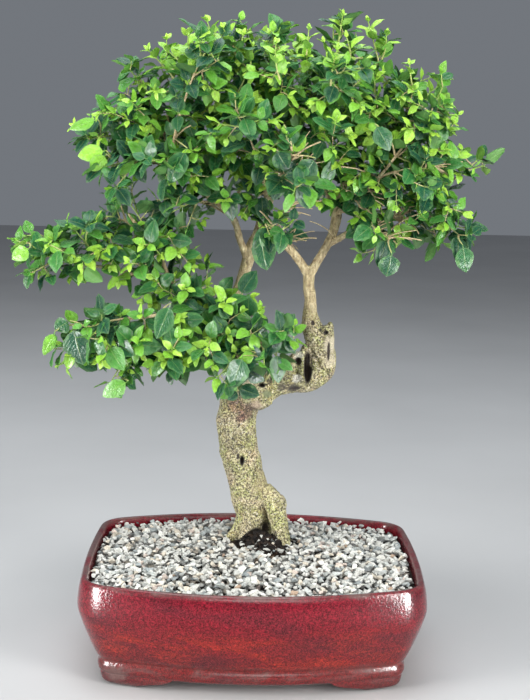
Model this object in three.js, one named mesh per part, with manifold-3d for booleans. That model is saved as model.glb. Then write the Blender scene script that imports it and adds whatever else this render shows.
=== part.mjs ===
// Glossy privet bonsai, trained with a bent, gnarled trunk, in its glazed pot.
// Millimetres, +Z up. The origin is the middle of the pot on the surface that it stands on.
import * as THREE from 'three';
import { mergeVertices } from 'three/addons/utils/BufferGeometryUtils.js';
import Module from 'manifold-3d';

const wasm = await Module();
wasm.setup();

// Driving dimensions of the pot
const potLength = 305;
const potWidth = 240;
const potHeight = 95;
const potCornerRadius = 34;
const tightestCorner = 12;
const longSideTurn = THREE.MathUtils.degToRad(17.5);
const shortSideTurn = THREE.MathUtils.degToRad(7.3);
const rimWidth = 9.5;
const floorUnder = 9;
const floorTop = 18;
const footInset = 20.5;
const footWall = 11;
const footLong = 60;
const footShort = 44;
const footRise = 8;
const drainRadius = 7.5;
const drainSpacing = 124;

// Driving dimensions of what fills the pot
const fit = 0.35;
const screenSize = 26;
const screenThickness = 1.6;
const screenHole = 8;
const soilTop = 86;
const collarTop = 90.5;
const clearing = { x: 4, y: 38, radiusX: 43, radiusY: 39, sides: 16 };
const gravelEdge = 3.4;
const gravelMound = 5;
const stoneSpacing = 13.4;
const stoneHeight = 3.6;
const gravelSeed = 4711;

// Driving dimensions of the tree
const treeX = 4;
const treeY = 50;
const plugRadius = 17;
const plugBottom = 52;
const plugSides = 12;
const rootGap = 0.3;
const twigTipRadius = 1;
const budLength = 3;
const nodeHalfLength = 0.9;
const bladeHalfThickness = 0.55;
const leafLongest = 29;
const leafRange = 9;
const youngLeafLongest = 23;
const leafProportion = 0.61;
const attachSpacing = 7;
const leafyLength = 30;
const longShoot = 80;
const shortestShoot = 46;
const shootPushes = [0, 5, -5, 10, -10, 15, -15, 20];
const leafShifts = [0, 0.5, -0.5, 1, -1];
const leafStalkShare = 0.22;
const touching = 1e-4;

// Seeds of the drawn numbers: each zone, shoot and leaf has its own
const zoneSeedStep = 7919;
const shootSeedStep = 104729;
const leafSeed = 15485863;
const leafSeedStep = 611953;

// Limbs as stations of x, y, z and radius along the wood, from the root collar outwards.
// bare is the length at a limb's start that carries no leafy shoot.
const limbs = {
  lowerTrunk: {
    sides: 12, rings: 11, lobes: 0.07, bare: 900,
    stations: [[3, 50, 84, 22], [1, 50, 98, 20], [0, 50, 116, 17.2], [-4, 48, 137, 17.8],
      [-10, 46, 161, 17.3], [-15, 45, 184, 17.4], [-18, 45, 204, 18.7], [-15, 45, 222, 17.8],
      [-9, 45, 236, 18.5], [0, 44, 243, 16]],
  },
  bend: {
    sides: 10, rings: 14, lobes: 0.08, bare: 900,
    stations: [[-8, 44, 235, 15], [6, 42, 241, 16.6], [22, 40, 247, 15.2], [37, 40, 249, 13.6],
      [50, 42, 248, 12.8], [60, 42, 254, 10.6], [62, 42, 266, 10.4], [58, 42, 279, 11.7],
      [51, 42, 292, 10], [48, 42, 305, 7], [48, 42, 320, 5.6], [46, 42, 333, 5.1], [46, 42, 347, 5.4]],
  },
  forkLeft: {
    sides: 5, rings: 3, lobes: 0, bare: 12,
    stations: [[46, 42, 342, 4.6], [38, 40, 354, 3.8], [30, 37, 364, 3.7], [24, 36, 370, 4]],
  },
  forkRight: {
    sides: 5, rings: 9, lobes: 0, bare: 55,
    stations: [[46, 42, 342, 4.8], [53, 44, 354, 4], [61, 46, 368, 3.9], [67, 48, 381, 4.1],
      [70, 50, 396, 5], [70, 50, 408, 4.4], [75, 52, 421, 3.6], [81, 55, 437, 2.8], [86, 58, 457, 2.3],
      [89, 60, 482, 1.8]],
  },
  forkUpright: {
    sides: 4, rings: 3, lobes: 0, bare: 14,
    stations: [[70, 50, 404, 2.9], [59, 46, 419, 2.5], [54, 45, 432, 2.4], [51, 44, 449, 2.2],
      [46, 44, 472, 1.8], [43, 44, 498, 1.4]],
  },
  leader: {
    sides: 6, rings: 15, lobes: 0, bare: 120,
    stations: [[-9, 45, 232, 12], [-12, 46, 251, 8], [-19, 48, 269, 6], [-24, 50, 284, 5.5],
      [-29, 52, 300, 5.3], [-27, 54, 310, 5.1], [-21, 56, 319, 5.4], [-16, 58, 331, 5.5],
      [-10, 60, 351, 5.5], [-6, 60, 367, 5.6], [0, 60, 379, 4.6], [5, 60, 395, 3.7], [11, 58, 413, 3.2],
      [14, 56, 436, 2.7], [12, 55, 462, 2.3], [8, 54, 489, 1.8], [5, 54, 512, 1.4]],
  },
  upperLeft: {
    sides: 5, rings: 7, lobes: 0, bare: 40,
    stations: [[-10, 60, 352, 4], [-17, 56, 372, 3.5], [-25, 52, 393, 3.3], [-31, 50, 400, 3.4],
      [-42, 46, 408, 3.1], [-50, 42, 414, 2.9], [-61, 38, 426, 2.7], [-69, 34, 436, 2.6],
      [-78, 32, 452, 2.1], [-88, 30, 472, 1.6]],
  },
  upperLeftSpur: {
    sides: 4, rings: 3, lobes: 0, bare: 12,
    stations: [[-28, 51, 397, 2.4], [-21, 58, 411, 1.9], [-14, 64, 424, 1.6], [-9, 70, 440, 1.4]],
  },
  crownBack: {
    sides: 4, rings: 3, lobes: 0, bare: 16,
    stations: [[-4, 60, 371, 3.2], [0, 76, 388, 2.6], [8, 92, 412, 2.1], [14, 100, 440, 1.5]],
  },
  crownFront: {
    sides: 4, rings: 3, lobes: 0, bare: 14,
    stations: [[4, 60, 392, 3], [6, 40, 404, 2.5], [4, 16, 422, 2], [-2, -8, 444, 1.4]],
  },
  rightFront: {
    sides: 4, rings: 3, lobes: 0, bare: 14,
    stations: [[70, 50, 397, 3.2], [80, 30, 410, 2.6], [94, 8, 424, 2], [106, -12, 440, 1.4]],
  },
  rightBack: {
    sides: 4, rings: 3, lobes: 0, bare: 14,
    stations: [[71, 50, 410, 3], [86, 68, 424, 2.5], [104, 84, 440, 2], [118, 94, 456, 1.4]],
  },
  rightLow: {
    sides: 4, rings: 4, lobes: 0, bare: 22,
    stations: [[62, 46, 370, 3.4], [84, 43, 383, 2.9], [112, 40, 394, 2.4], [138, 38, 404, 1.9],
      [158, 36, 416, 1.4]],
  },
  leftFront: {
    sides: 4, rings: 3, lobes: 0, bare: 10,
    stations: [[-44, 45, 409, 2.7], [-54, 26, 422, 2.3], [-66, 6, 436, 1.9], [-76, -10, 452, 1.4]],
  },
  leftBack: {
    sides: 4, rings: 3, lobes: 0, bare: 10,
    stations: [[-32, 50, 401, 2.8], [-46, 70, 418, 2.3], [-60, 86, 438, 1.9], [-70, 94, 456, 1.4]],
  },
  padLimb: {
    sides: 5, rings: 7, lobes: 0, bare: 26,
    stations: [[-28, 52, 300, 3.8], [-45, 46, 308, 3.1], [-61, 38, 320, 2.8], [-74, 32, 332, 2.7],
      [-83, 28, 346, 2.5], [-88, 26, 359, 2.2], [-94, 24, 370, 2.1], [-105, 22, 382, 1.7],
      [-116, 20, 396, 1.3]],
  },
  padOuter: {
    sides: 4, rings: 3, lobes: 0, bare: 12,
    stations: [[-78, 31, 337, 2.5], [-102, 26, 340, 2.2], [-128, 22, 346, 1.8], [-154, 20, 350, 1.3]],
  },
  padBack: {
    sides: 4, rings: 3, lobes: 0, bare: 12,
    stations: [[-61, 38, 320, 2.5], [-78, 58, 328, 2.1], [-98, 76, 340, 1.7], [-116, 86, 350, 1.3]],
  },
  padFront: {
    sides: 4, rings: 3, lobes: 0, bare: 14,
    stations: [[-46, 46, 309, 2.7], [-58, 22, 312, 2.3], [-76, -2, 312, 1.9], [-98, -20, 310, 1.4]],
  },
  padLow: {
    sides: 4, rings: 3, lobes: 0, bare: 14,
    stations: [[-24, 50, 283, 3], [-42, 42, 283, 2.6], [-62, 32, 290, 2.2], [-86, 22, 294, 1.8],
      [-112, 14, 290, 1.3]],
  },
  lowFront: {
    sides: 4, rings: 3, lobes: 0, bare: 16,
    stations: [[-23, 50, 285, 2.6], [-14, 26, 286, 2.2], [-2, 4, 286, 1.8], [6, -10, 288, 1.3]],
  },
};

// Root flares, in the same form, running down into the soil
const rootFlares = [
  {
    sides: 6, rings: 3, lobes: 0,
    stations: [[-8, 49, 118, 9], [-16, 48, 104, 8.5], [-24, 47, 92, 6.5], [-28, 46, 84, 5]],
  },
  {
    sides: 7, rings: 4, lobes: 0,
    stations: [[8, 44, 140, 8], [19, 37, 120, 10.5], [26, 29, 105, 9], [30, 21, 92, 6.5], [32, 18, 84, 5]],
  },
  {
    sides: 5, rings: 3, lobes: 0,
    stations: [[3, 52, 124, 8], [8, 58, 108, 8], [13, 65, 92, 5.5], [15, 67, 84, 5]],
  },
];

// Burls on the wood as centre and half sizes
const burls = [
  { at: [2, 34, 231], size: [14, 11, 13] },
  { at: [25, 35, 259], size: [13, 12, 9] },
  { at: [39, 32, 264], size: [9, 8, 9] },
  { at: [67, 40, 281], size: [4.5, 7, 19] },
];

// Hollows and slits in the wood as centre and half sizes
const hollows = [
  { at: [48, 30, 257], size: [4.6, 14, 12] },
  { at: [38, 23, 266], size: [3.2, 6, 3.4] },
  { at: [66.5, 32, 281], size: [1.4, 5, 10] },
  { at: [-18, 27, 174], size: [1.9, 6, 5.5] },
];

// Zones of foliage. tips are the ends of single shoots, fill is how many more are spread by
// a spiral over the ellipsoid's front, back or top, and hanging are shoots whose last leaves droop.
const zones = [
  {
    name: 'crown',
    centre: [20, 26, 468],
    size: [172, 74, 98],
    limbs: ['forkRight', 'forkUpright', 'leader', 'upperLeft', 'upperLeftSpur', 'crownBack', 'crownFront',
      'rightFront', 'rightBack', 'rightLow', 'leftFront', 'leftBack', 'forkLeft'],
    tips: [[-150, 20, 460], [-136, 2, 436], [-110, 40, 518], [-66, 44, 532], [-36, 14, 544],
      [8, 8, 545], [70, 34, 556], [104, 46, 540], [132, 40, 512], [152, 8, 494], [192, 34, 448],
      [160, 48, 384], [-80, 22, 396]],
    hanging: [[176, 20, 384], [112, 2, 380], [5, -10, 392]],
    fill: [{ face: 'front', count: 6, phase: 2.6 }, { face: 'back', count: 5, phase: 0.7 }],
  },
  {
    name: 'upper_pad',
    centre: [-130, 22, 352],
    size: [78, 62, 38],
    limbs: ['padLimb', 'padOuter', 'padBack'],
    tips: [[-206, 14, 358], [-198, 34, 376], [-160, 2, 382], [-144, 46, 392], [-116, 16, 408]],
    hanging: [],
    fill: [{ face: 'top', count: 1, phase: 0.7 }],
  },
  {
    name: 'lower_pad',
    centre: [-72, 0, 280],
    size: [92, 62, 26],
    limbs: ['padFront', 'padLow', 'lowFront'],
    tips: [[-172, 12, 276], [-122, -8, 252], [-84, 24, 258], [-34, -16, 258], [32, -4, 290]],
    hanging: [[-146, -18, 300], [18, -20, 282]],
    fill: [{ face: 'top', count: 2, phase: 0.7 }],
  },
];

// Closed geometry to a solid that can be joined and cut
function solid(geometry) {
  const bare = new THREE.BufferGeometry();
  bare.setAttribute('position', geometry.getAttribute('position'));
  bare.setIndex(geometry.getIndex());
  const merged = mergeVertices(bare, 1e-4);
  return new wasm.Manifold(new wasm.Mesh({
    numProp: 3,
    vertProperties: Float32Array.from(merged.getAttribute('position').array),
    triVerts: Uint32Array.from(merged.getIndex().array),
  }));
}

// A solid back to geometry
function geometryOf(body) {
  const mesh = body.getMesh();
  const geometry = new THREE.BufferGeometry();
  geometry.setAttribute('position', new THREE.BufferAttribute(Float32Array.from(mesh.vertProperties), 3));
  geometry.setIndex(Array.from(mesh.triVerts));
  geometry.computeVertexNormals();
  return geometry;
}

// The largest body of a solid, without loose scraps
function largest(body) {
  const bodies = body.decompose();
  return bodies.reduce((best, next) => (next.volume() > best.volume() ? next : best));
}

function joined(bodies) {
  return bodies.reduce((whole, next) => whole.add(next));
}

function piece(name, body, material) {
  const mesh = new THREE.Mesh(geometryOf(body), material);
  mesh.name = name;
  return mesh;
}

// Rings of equal count joined to a closed body, with a flat end on the first and the last ring
function loft(rings) {
  const count = rings[0].length;
  const points = rings.flat();
  const index = [];
  for (let ring = 0; ring < rings.length - 1; ring++) {
    for (let side = 0; side < count; side++) {
      const next = (side + 1) % count;
      const a = ring * count + side;
      const b = ring * count + next;
      index.push(a, b, b + count, a, b + count, a + count);
    }
  }
  const top = (rings.length - 1) * count;
  for (let side = 1; side < count - 1; side++) {
    index.push(0, side + 1, side);
    index.push(top, top + side, top + side + 1);
  }
  const geometry = new THREE.BufferGeometry().setFromPoints(points);
  geometry.setIndex(index);
  return geometry;
}

// Plan of the pot set in from its rim: four rounded corners between bowed sides
function potOutline(inset, z) {
  const cornerSteps = 4;
  const longSteps = 3;
  const shortSteps = 1;
  const halfLength = potLength / 2 - inset;
  const halfWidth = potWidth / 2 - inset;
  const radius = Math.max(potCornerRadius - inset, tightestCorner);
  const shortRise = Math.tan(shortSideTurn) / 2;
  const longRise = Math.tan(longSideTurn) / 2;
  let cornerX = halfLength - radius;
  let cornerY = halfWidth - radius;
  for (let pass = 0; pass < 12; pass++) {
    cornerX = halfLength - radius * Math.cos(shortSideTurn);
    cornerX -= shortRise * (cornerY + radius * Math.sin(shortSideTurn));
    cornerY = halfWidth - radius * Math.cos(longSideTurn);
    cornerY -= longRise * (cornerX + radius * Math.sin(longSideTurn));
  }
  const shortEnd = cornerY + radius * Math.sin(shortSideTurn);
  const longEnd = cornerX + radius * Math.sin(longSideTurn);
  const quarter = [];
  for (let step = 0; step < shortSteps; step++) {
    const y = shortEnd * step / shortSteps;
    quarter.push([halfLength - shortRise * y * y / shortEnd, y]);
  }
  for (let step = 0; step <= cornerSteps; step++) {
    const angle = THREE.MathUtils.lerp(shortSideTurn, Math.PI / 2 - longSideTurn, step / cornerSteps);
    quarter.push([cornerX + radius * Math.cos(angle), cornerY + radius * Math.sin(angle)]);
  }
  for (let step = longSteps - 1; step >= 0; step--) {
    const x = longEnd * step / longSteps;
    quarter.push([x, halfWidth - longRise * x * x / longEnd]);
  }
  const inner = quarter.slice(1, -1);
  const outline = [
    ...quarter,
    ...inner.map(([x, y]) => [-x, y]).reverse(),
    ...quarter.map(([x, y]) => [-x, -y]),
    ...inner.map(([x, y]) => [x, -y]).reverse(),
  ];
  return outline.map(([x, y]) => new THREE.Vector3(x, y, z));
}

// The pot's wall as inset and height: outside from the base up to the rim, inside from the floor up
const outerWall = [
  [footInset + 1, floorUnder], [17, 13], [16.6, 17.5], [18.6, 21],
  [12.5, 36], [5, 54], [0.8, 74], [0, 90], [2.2, potHeight], [rimWidth - 1.5, potHeight],
];
const innerWall = [[26, floorTop], [16.5, 48], [10.6, soilTop]];

// The outside of the bracket feet: a small roll at the bottom, a hollow above it
const footWallLevels = [
  [footInset + 0.8, 0], [footInset - 0.4, 2.5], [footInset + 1.4, 8], [footInset + 0.4, 11],
];

// A solid through outlines of the pot that are given as inset and height
function lofted(levels) {
  return solid(loft(levels.map(([inset, z]) => potOutline(inset, z))));
}

// An upright prism of a flat shape drawn in X and Y
function prism(shape, bottom, top) {
  const geometry = new THREE.ExtrudeGeometry(shape, { depth: top - bottom, bevelEnabled: false });
  geometry.translate(0, 0, bottom);
  return geometry;
}

// The gap between two feet: flat along its top, with a bracket curve down to each foot
function footGap(halfLength, reach) {
  const shape = new THREE.Shape();
  const bracket = 10;
  const start = 0.5;
  shape.moveTo(-halfLength, -start);
  shape.lineTo(-halfLength, start);
  shape.quadraticCurveTo(-halfLength + 2, footRise - 2, -halfLength + bracket, footRise);
  shape.lineTo(halfLength - bracket, footRise);
  shape.quadraticCurveTo(halfLength - 2, footRise - 2, halfLength, start);
  shape.lineTo(halfLength, -start);
  const depth = 2 * reach;
  const geometry = new THREE.ExtrudeGeometry(shape, { depth, bevelEnabled: false, curveSegments: 2 });
  geometry.rotateX(Math.PI / 2);
  geometry.translate(0, reach, 0);
  return geometry;
}

// One fired piece: bowed walls, rolled rim, belt above four bracket feet, two drain holes
function pot() {
  const body = lofted([...outerWall, ...[...innerWall].reverse()]);
  const foot = lofted(footWallLevels);
  const underside = lofted([[footInset + footWall, -2], [footInset + footWall, floorUnder]]);
  const frontGap = solid(footGap(potLength / 2 - footInset - footLong, potWidth));
  const sideGapShape = footGap(potWidth / 2 - footInset - footShort, potLength);
  sideGapShape.rotateZ(Math.PI / 2);
  let whole = body.add(foot.subtract(underside).subtract(frontGap).subtract(solid(sideGapShape)));
  for (const side of [-1, 1]) {
    const drill = new THREE.CylinderGeometry(drainRadius, drainRadius, 2 * floorTop, 12);
    drill.rotateX(Math.PI / 2);
    drill.translate(side * drainSpacing / 2, 0, floorTop);
    whole = whole.subtract(solid(drill));
  }
  return whole;
}

function rectangle(x, y, size) {
  const half = size / 2;
  const shape = new THREE.Shape();
  shape.moveTo(x - half, y - half);
  shape.lineTo(x + half, y - half);
  shape.lineTo(x + half, y + half);
  shape.lineTo(x - half, y + half);
  return shape;
}

// A square of plastic mesh that keeps the soil off a drain hole
function drainScreen(side) {
  const middle = side * drainSpacing / 2;
  const step = screenSize / 5;
  let plate = solid(prism(rectangle(middle, 0, screenSize), floorTop, floorTop + screenThickness));
  for (const column of [-1, 1]) {
    for (const row of [-1, 1]) {
      const hole = rectangle(middle + column * step, row * step, screenHole);
      plate = plate.subtract(solid(prism(hole, floorTop - 2, floorTop + screenThickness + 2)));
    }
  }
  return plate;
}

// Round or oval upright prism, as a cylinder with its own plan radii
function column(x, y, radiusX, radiusY, bottom, top, sides) {
  const geometry = new THREE.CylinderGeometry(1, 1, top - bottom, sides);
  geometry.rotateX(Math.PI / 2);
  geometry.scale(radiusX, radiusY, 1);
  geometry.translate(x, y, (top + bottom) / 2);
  return solid(geometry);
}

// The soil fills the pot, stands up a little round the roots and has a plain hole for the root plug
function soil() {
  const filling = lofted(innerWall.map(([inset, z]) => [inset + fit, z]));
  const { x, y, radiusX, radiusY } = clearing;
  let block = filling.add(column(x, y, radiusX, radiusY, soilTop - 2, collarTop, clearing.sides));
  for (const side of [-1, 1]) {
    const pocket = rectangle(side * drainSpacing / 2, 0, screenSize + 2 * fit);
    block = block.subtract(solid(prism(pocket, floorTop - 2, floorTop + screenThickness + fit)));
  }
  const hole = plugRadius + 2 * fit;
  return block.subtract(column(treeX, treeY, hole, hole, plugBottom - 2 * fit, potHeight, plugSides));
}

// Park-Miller draws, so that each shoot and leaf keeps its own form
function draws(seed) {
  let state = seed;
  return () => {
    state = (state * 16807) % 2147483647;
    return state / 2147483647;
  };
}

// Height of the gravel's surface: a low mound whose points stand high and low by turns
function gravelHeight(x, y, high, draw) {
  const across = Math.min(Math.hypot(x / (potLength / 2), y / (potWidth / 2)), 1);
  const mound = gravelEdge + gravelMound * (1 - across * across);
  return soilTop + mound + (high ? stoneHeight : -stoneHeight / 2) * draw();
}

// The lattice of points of the gravel's surface, each shifted at random from its even place
function gravelPoints(columns, rows) {
  const draw = draws(gravelSeed);
  const position = new THREE.PlaneGeometry(potLength, potWidth, columns, rows).getAttribute('position');
  const points = [];
  for (let i = 0; i < position.count; i++) {
    const column = i % (columns + 1);
    const row = Math.floor(i / (columns + 1));
    const edge = column === 0 || row === 0 || column === columns || row === rows;
    const shift = edge ? 0 : stoneSpacing * 0.6;
    const x = position.getX(i) + (draw() - 0.5) * shift;
    const y = position.getY(i) + (draw() - 0.5) * shift;
    points.push(new THREE.Vector3(x, y, gravelHeight(x, y, (column + row) % 2 === 0, draw)));
  }
  return points;
}

// Gravel as a bed of pointed stones, with a flat underside and an opening round the roots
function gravel() {
  const columns = 2 * Math.round(potLength / stoneSpacing / 2);
  const rows = 2 * Math.round(potWidth / stoneSpacing / 2);
  const points = gravelPoints(columns, rows);
  const stride = columns + 1;
  const index = [];
  for (let i = 0; i < rows * stride; i++) {
    if (i % stride === columns) continue;
    const [a, b, c, d] = [i, i + 1, i + stride, i + stride + 1];
    const even = (i % stride + Math.floor(i / stride)) % 2 === 0;
    index.push(...(even ? [a, c, b, b, c, d] : [a, c, d, a, d, b]));
  }
  const border = [];
  for (let column = 0; column < columns; column++) border.push(column);
  for (let row = 0; row < rows; row++) border.push(row * stride + columns);
  for (let column = columns; column > 0; column--) border.push(rows * stride + column);
  for (let row = rows; row > 0; row--) border.push(row * stride);
  const first = points.length;
  const depth = soilTop - 4;
  points.push(...border.map((corner) => new THREE.Vector3(points[corner].x, points[corner].y, depth)));
  border.forEach((corner, i) => {
    const next = (i + 1) % border.length;
    index.push(corner, border[next], first + next, corner, first + next, first + i);
    index.push(first, first + i, first + next);
  });
  const relief = new THREE.BufferGeometry().setFromPoints(points);
  relief.setIndex(index.slice(0, -3));
  const inset = innerWall[innerWall.length - 1][0] + fit;
  const top = 2 * potHeight;
  const { x, y, radiusX, radiusY, sides } = clearing;
  const opening = column(x, y, radiusX + fit, radiusY + fit, depth, top, sides);
  return largest(solid(relief).intersect(lofted([[inset, soilTop], [inset, top]])).subtract(opening));
}

// Radius of a limb at a share of its stations
function radiusAt(stations, share) {
  const place = share * (stations.length - 1);
  const low = Math.min(Math.floor(place), stations.length - 2);
  return THREE.MathUtils.lerp(stations[low][3], stations[low + 1][3], place - low);
}

// A tapering limb: a cylinder bent along the smooth curve through its stations
function limb({ sides, rings, lobes, stations }, swell) {
  const points = stations.map(([x, y, z]) => new THREE.Vector3(x, y, z));
  const path = new THREE.CatmullRomCurve3(points, false, 'centripetal');
  const frames = path.computeFrenetFrames(rings, false);
  const geometry = new THREE.CylinderGeometry(1, 1, 1, sides, rings);
  const position = geometry.getAttribute('position');
  for (let i = 0; i < position.count; i++) {
    const ring = Math.round((position.getY(i) + 0.5) * rings);
    const share = path.getUtoTmapping(ring / rings);
    const turn = Math.atan2(position.getZ(i), position.getX(i));
    const lobe = Math.sin(3 * turn + share * 9) + 0.6 * Math.sin(5 * turn - share * 14);
    const radius = radiusAt(stations, share) * (1 + lobes * lobe) + swell;
    const point = path.getPoint(share);
    point.addScaledVector(frames.binormals[ring], position.getX(i) * radius);
    point.addScaledVector(frames.normals[ring], position.getZ(i) * radius);
    if (ring === 0) point.addScaledVector(frames.tangents[0], -swell);
    if (ring === rings) point.addScaledVector(frames.tangents[rings], swell);
    position.setXYZ(i, point.x, point.y, point.z);
  }
  return solid(geometry);
}

function ellipsoid({ at, size }) {
  const ball = new THREE.SphereGeometry(1, 7, 4);
  ball.scale(...size);
  ball.translate(...at);
  return solid(ball);
}

// The woody frame grew as one: root plug, trunk, burls and the limbs down to pencil size
function trunk() {
  const grown = [...Object.values(limbs), ...rootFlares].map((one) => limb(one, 0));
  const wood = hollows.reduce((whole, one) => whole.subtract(ellipsoid(one)),
    joined([...grown, ...burls.map(ellipsoid)]));
  const ground = column(treeX, treeY, potLength, potLength, 0, collarTop + rootGap, plugSides);
  const plug = column(treeX, treeY, plugRadius, plugRadius, plugBottom, collarTop + 6, plugSides);
  return largest(wood.subtract(ground).add(plug));
}

// Places along the limbs of a zone where a shoot can grow, at even distances
function attachPlaces(names) {
  const places = [];
  for (const name of names) {
    const { stations, bare } = limbs[name];
    const length = stations.slice(1).reduce((sum, to, i) => sum + distance(stations[i], to), 0);
    for (let from = length; from > bare; from -= attachSpacing) {
      places.push(along(stations, from));
    }
  }
  return places;
}

function distance(a, b) {
  return Math.hypot(a[0] - b[0], a[1] - b[1], a[2] - b[2]);
}

// Point and direction at a length along straight runs between stations
function along(stations, length) {
  let left = length;
  let run = 0;
  while (run < stations.length - 2 && left > distance(stations[run], stations[run + 1])) {
    left -= distance(stations[run], stations[run + 1]);
    run += 1;
  }
  const start = new THREE.Vector3(...stations[run].slice(0, 3));
  const direction = new THREE.Vector3(...stations[run + 1].slice(0, 3)).sub(start).normalize();
  return { point: start.addScaledVector(direction, left), direction, taken: false };
}

// The ends of a zone's shoots: the single ones first, then a golden-angle spiral on each face
function shootEnds(zone) {
  const goldenAngle = Math.PI * (3 - Math.sqrt(5));
  const centre = new THREE.Vector3(...zone.centre);
  const ends = zone.tips.map((tip) => ({ tip: new THREE.Vector3(...tip), hanging: false }));
  ends.push(...zone.hanging.map((tip) => ({ tip: new THREE.Vector3(...tip), hanging: true })));
  for (const { face, count, phase } of zone.fill) {
    for (let i = 0; i < count; i++) {
      const reach = 0.86 * Math.sqrt((i + 0.6) / count);
      const u = reach * Math.cos(i * goldenAngle + phase);
      const v = reach * Math.sin(i * goldenAngle + phase);
      const rise = Math.sqrt(1 - reach * reach);
      const offset = face === 'top' ? [u, v, rise] : [u, face === 'front' ? -rise : rise, v];
      const tip = new THREE.Vector3(...offset).multiply(new THREE.Vector3(...zone.size)).add(centre);
      ends.push({ tip, hanging: false });
    }
  }
  return ends;
}

// The free place on the limbs from which a shoot reaches its end with the least effort
function nearestPlace(places, tip) {
  let best = null;
  let least = Infinity;
  for (const place of places) {
    const reach = place.point.distanceTo(tip);
    const effort = reach + 0.6 * Math.max(0, place.point.z - tip.z + 10);
    if (!place.taken && reach > shortestShoot && effort < least) {
      least = effort;
      best = place;
    }
  }
  return best;
}

// A bent twig from a limb to its end, as a quadratic curve with one control point
function twigCurve(place, tip, variant) {
  const reach = place.point.distanceTo(tip);
  const control = place.point.clone().lerp(tip, 0.4);
  control.addScaledVector(place.direction, 0.12 * reach);
  control.z += 0.1 * reach;
  const across = tip.clone().sub(place.point).cross(new THREE.Vector3(0, 0, 1)).normalize();
  control.addScaledVector(across, shootPushes[variant]);
  return new THREE.QuadraticBezierCurve3(place.point.clone(), control, tip.clone());
}

// Two directions square to a heading, so that heading, side and up turn like X, Y and Z
function squareTo(heading) {
  const upright = Math.abs(heading.z) > 0.95;
  const side = heading.clone().cross(upright ? new THREE.Vector3(1, 0, 0) : new THREE.Vector3(0, 0, 1));
  side.normalize();
  return { side, up: heading.clone().cross(side) };
}

// A place along a twig where leaves or side twigs sit: faces 0 to 3 look along side, up and back
function nodeAt(point, heading, side, radius) {
  const level = side.clone().addScaledVector(heading, -side.dot(heading)).normalize();
  return { point, heading, side: level, up: heading.clone().cross(level), radius };
}

function faceDirection(node, face) {
  const angle = face * Math.PI / 2;
  return node.side.clone().multiplyScalar(Math.cos(angle)).addScaledVector(node.up, Math.sin(angle));
}

// Four corners of a twig at a node, moved along the twig by an offset
function corners(node, offset) {
  return [0, 1, 2, 3].map((corner) => {
    const angle = (corner - 0.5) * Math.PI / 2;
    return node.point.clone()
      .addScaledVector(node.heading, offset)
      .addScaledVector(node.side, node.radius * Math.cos(angle))
      .addScaledVector(node.up, node.radius * Math.sin(angle));
  });
}

// A closed skin that grows ring by ring. Twigs and leaves are grafted on its four-sided openings.
class Skin {
  constructor() {
    this.points = [];
    this.index = [];
  }

  ring(points) {
    this.points.push(...points);
    return points.map((_, i) => this.points.length - points.length + i);
  }

  quad([a, b, c, d]) {
    this.index.push(a, b, c, a, c, d);
  }

  face(lower, upper, side) {
    const next = (side + 1) % 4;
    return [lower[side], lower[next], upper[next], upper[side]];
  }

  tube(lower, upper, open = []) {
    for (let side = 0; side < 4; side++) {
      if (!open.includes(side)) this.quad(this.face(lower, upper, side));
    }
  }

  tip(ring, point) {
    const [top] = this.ring([point]);
    ring.forEach((corner, i) => this.index.push(corner, ring[(i + 1) % ring.length], top));
  }

  // Turns an opening so that its corners lie nearest to those of the ring that follows it
  turned(opening, points) {
    const apart = (turn) => points.reduce((sum, point, i) => (
      sum + point.distanceToSquared(this.points[opening[(i + turn) % 4]])), 0);
    const best = [0, 1, 2, 3].reduce((least, turn) => (apart(turn) < apart(least) ? turn : least), 0);
    return opening.map((_, i) => opening[(i + best) % 4]);
  }

  geometry() {
    const geometry = new THREE.BufferGeometry().setFromPoints(this.points);
    geometry.setIndex(this.index);
    return geometry;
  }

  // Whether two faces that share no edge cut through each other
  cutsItself() {
    const faces = [];
    for (let i = 0; i < this.index.length; i += 3) {
      const ends = this.index.slice(i, i + 3);
      const points = ends.map((corner) => this.points[corner]);
      faces.push({ ends, points, box: new THREE.Box3().setFromPoints(points) });
    }
    return faces.some((one, i) => faces.some((other, j) => (
      j > i && one.box.intersectsBox(other.box)
      && one.ends.filter((corner) => other.ends.includes(corner)).length < 2
      && (edgeCuts(one.points, other.points) || edgeCuts(other.points, one.points)))));
  }
}

// Whether an edge of one triangle passes through another
function edgeCuts(triangle, other) {
  return triangle.some((from, i) => {
    const direction = triangle[(i + 1) % 3].clone().sub(from);
    const length = direction.length();
    const ray = new THREE.Ray(from, direction.normalize());
    const hit = ray.intersectTriangle(...other, false, new THREE.Vector3());
    const along = hit ? hit.distanceTo(from) : 0;
    return along > touching && along < length - touching;
  });
}

// Cross-sections of a leaf blade: left edge, top of midrib, right edge, underside of midrib
function bladeSections({ base, heading, face, length, width, fold, arch }, stations, margin) {
  const side = face.clone().cross(heading);
  return stations.map(([share, breadth, depth]) => {
    const half = breadth * width / 2 + margin;
    const centre = base.clone().addScaledVector(heading, share * length);
    centre.addScaledVector(face, -arch * length * share * share);
    const raised = centre.clone().addScaledVector(face, half * fold);
    return [
      raised.clone().addScaledVector(side, half),
      centre.clone().addScaledVector(face, depth + margin),
      raised.clone().addScaledVector(side, -half),
      centre.clone().addScaledVector(face, -depth - margin),
    ];
  });
}

function bladeTip({ base, heading, face, length, arch }, margin) {
  return base.clone().addScaledVector(heading, length + margin).addScaledVector(face, -arch * length);
}

const bladeStations = [[0.3, 0.96, bladeHalfThickness], [0.67, 0.8, bladeHalfThickness]];

// Faces between two sections of a blade, split alike on its upper and its lower side
function bladeFaces([left, top, right, bottom], [left2, top2, right2, bottom2]) {
  return [
    top, top2, left, left, top2, left2, right, right2, top2, right, top2, top,
    bottom, left, bottom2, left, left2, bottom2, right, bottom, bottom2, right, bottom2, right2,
  ];
}

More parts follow.
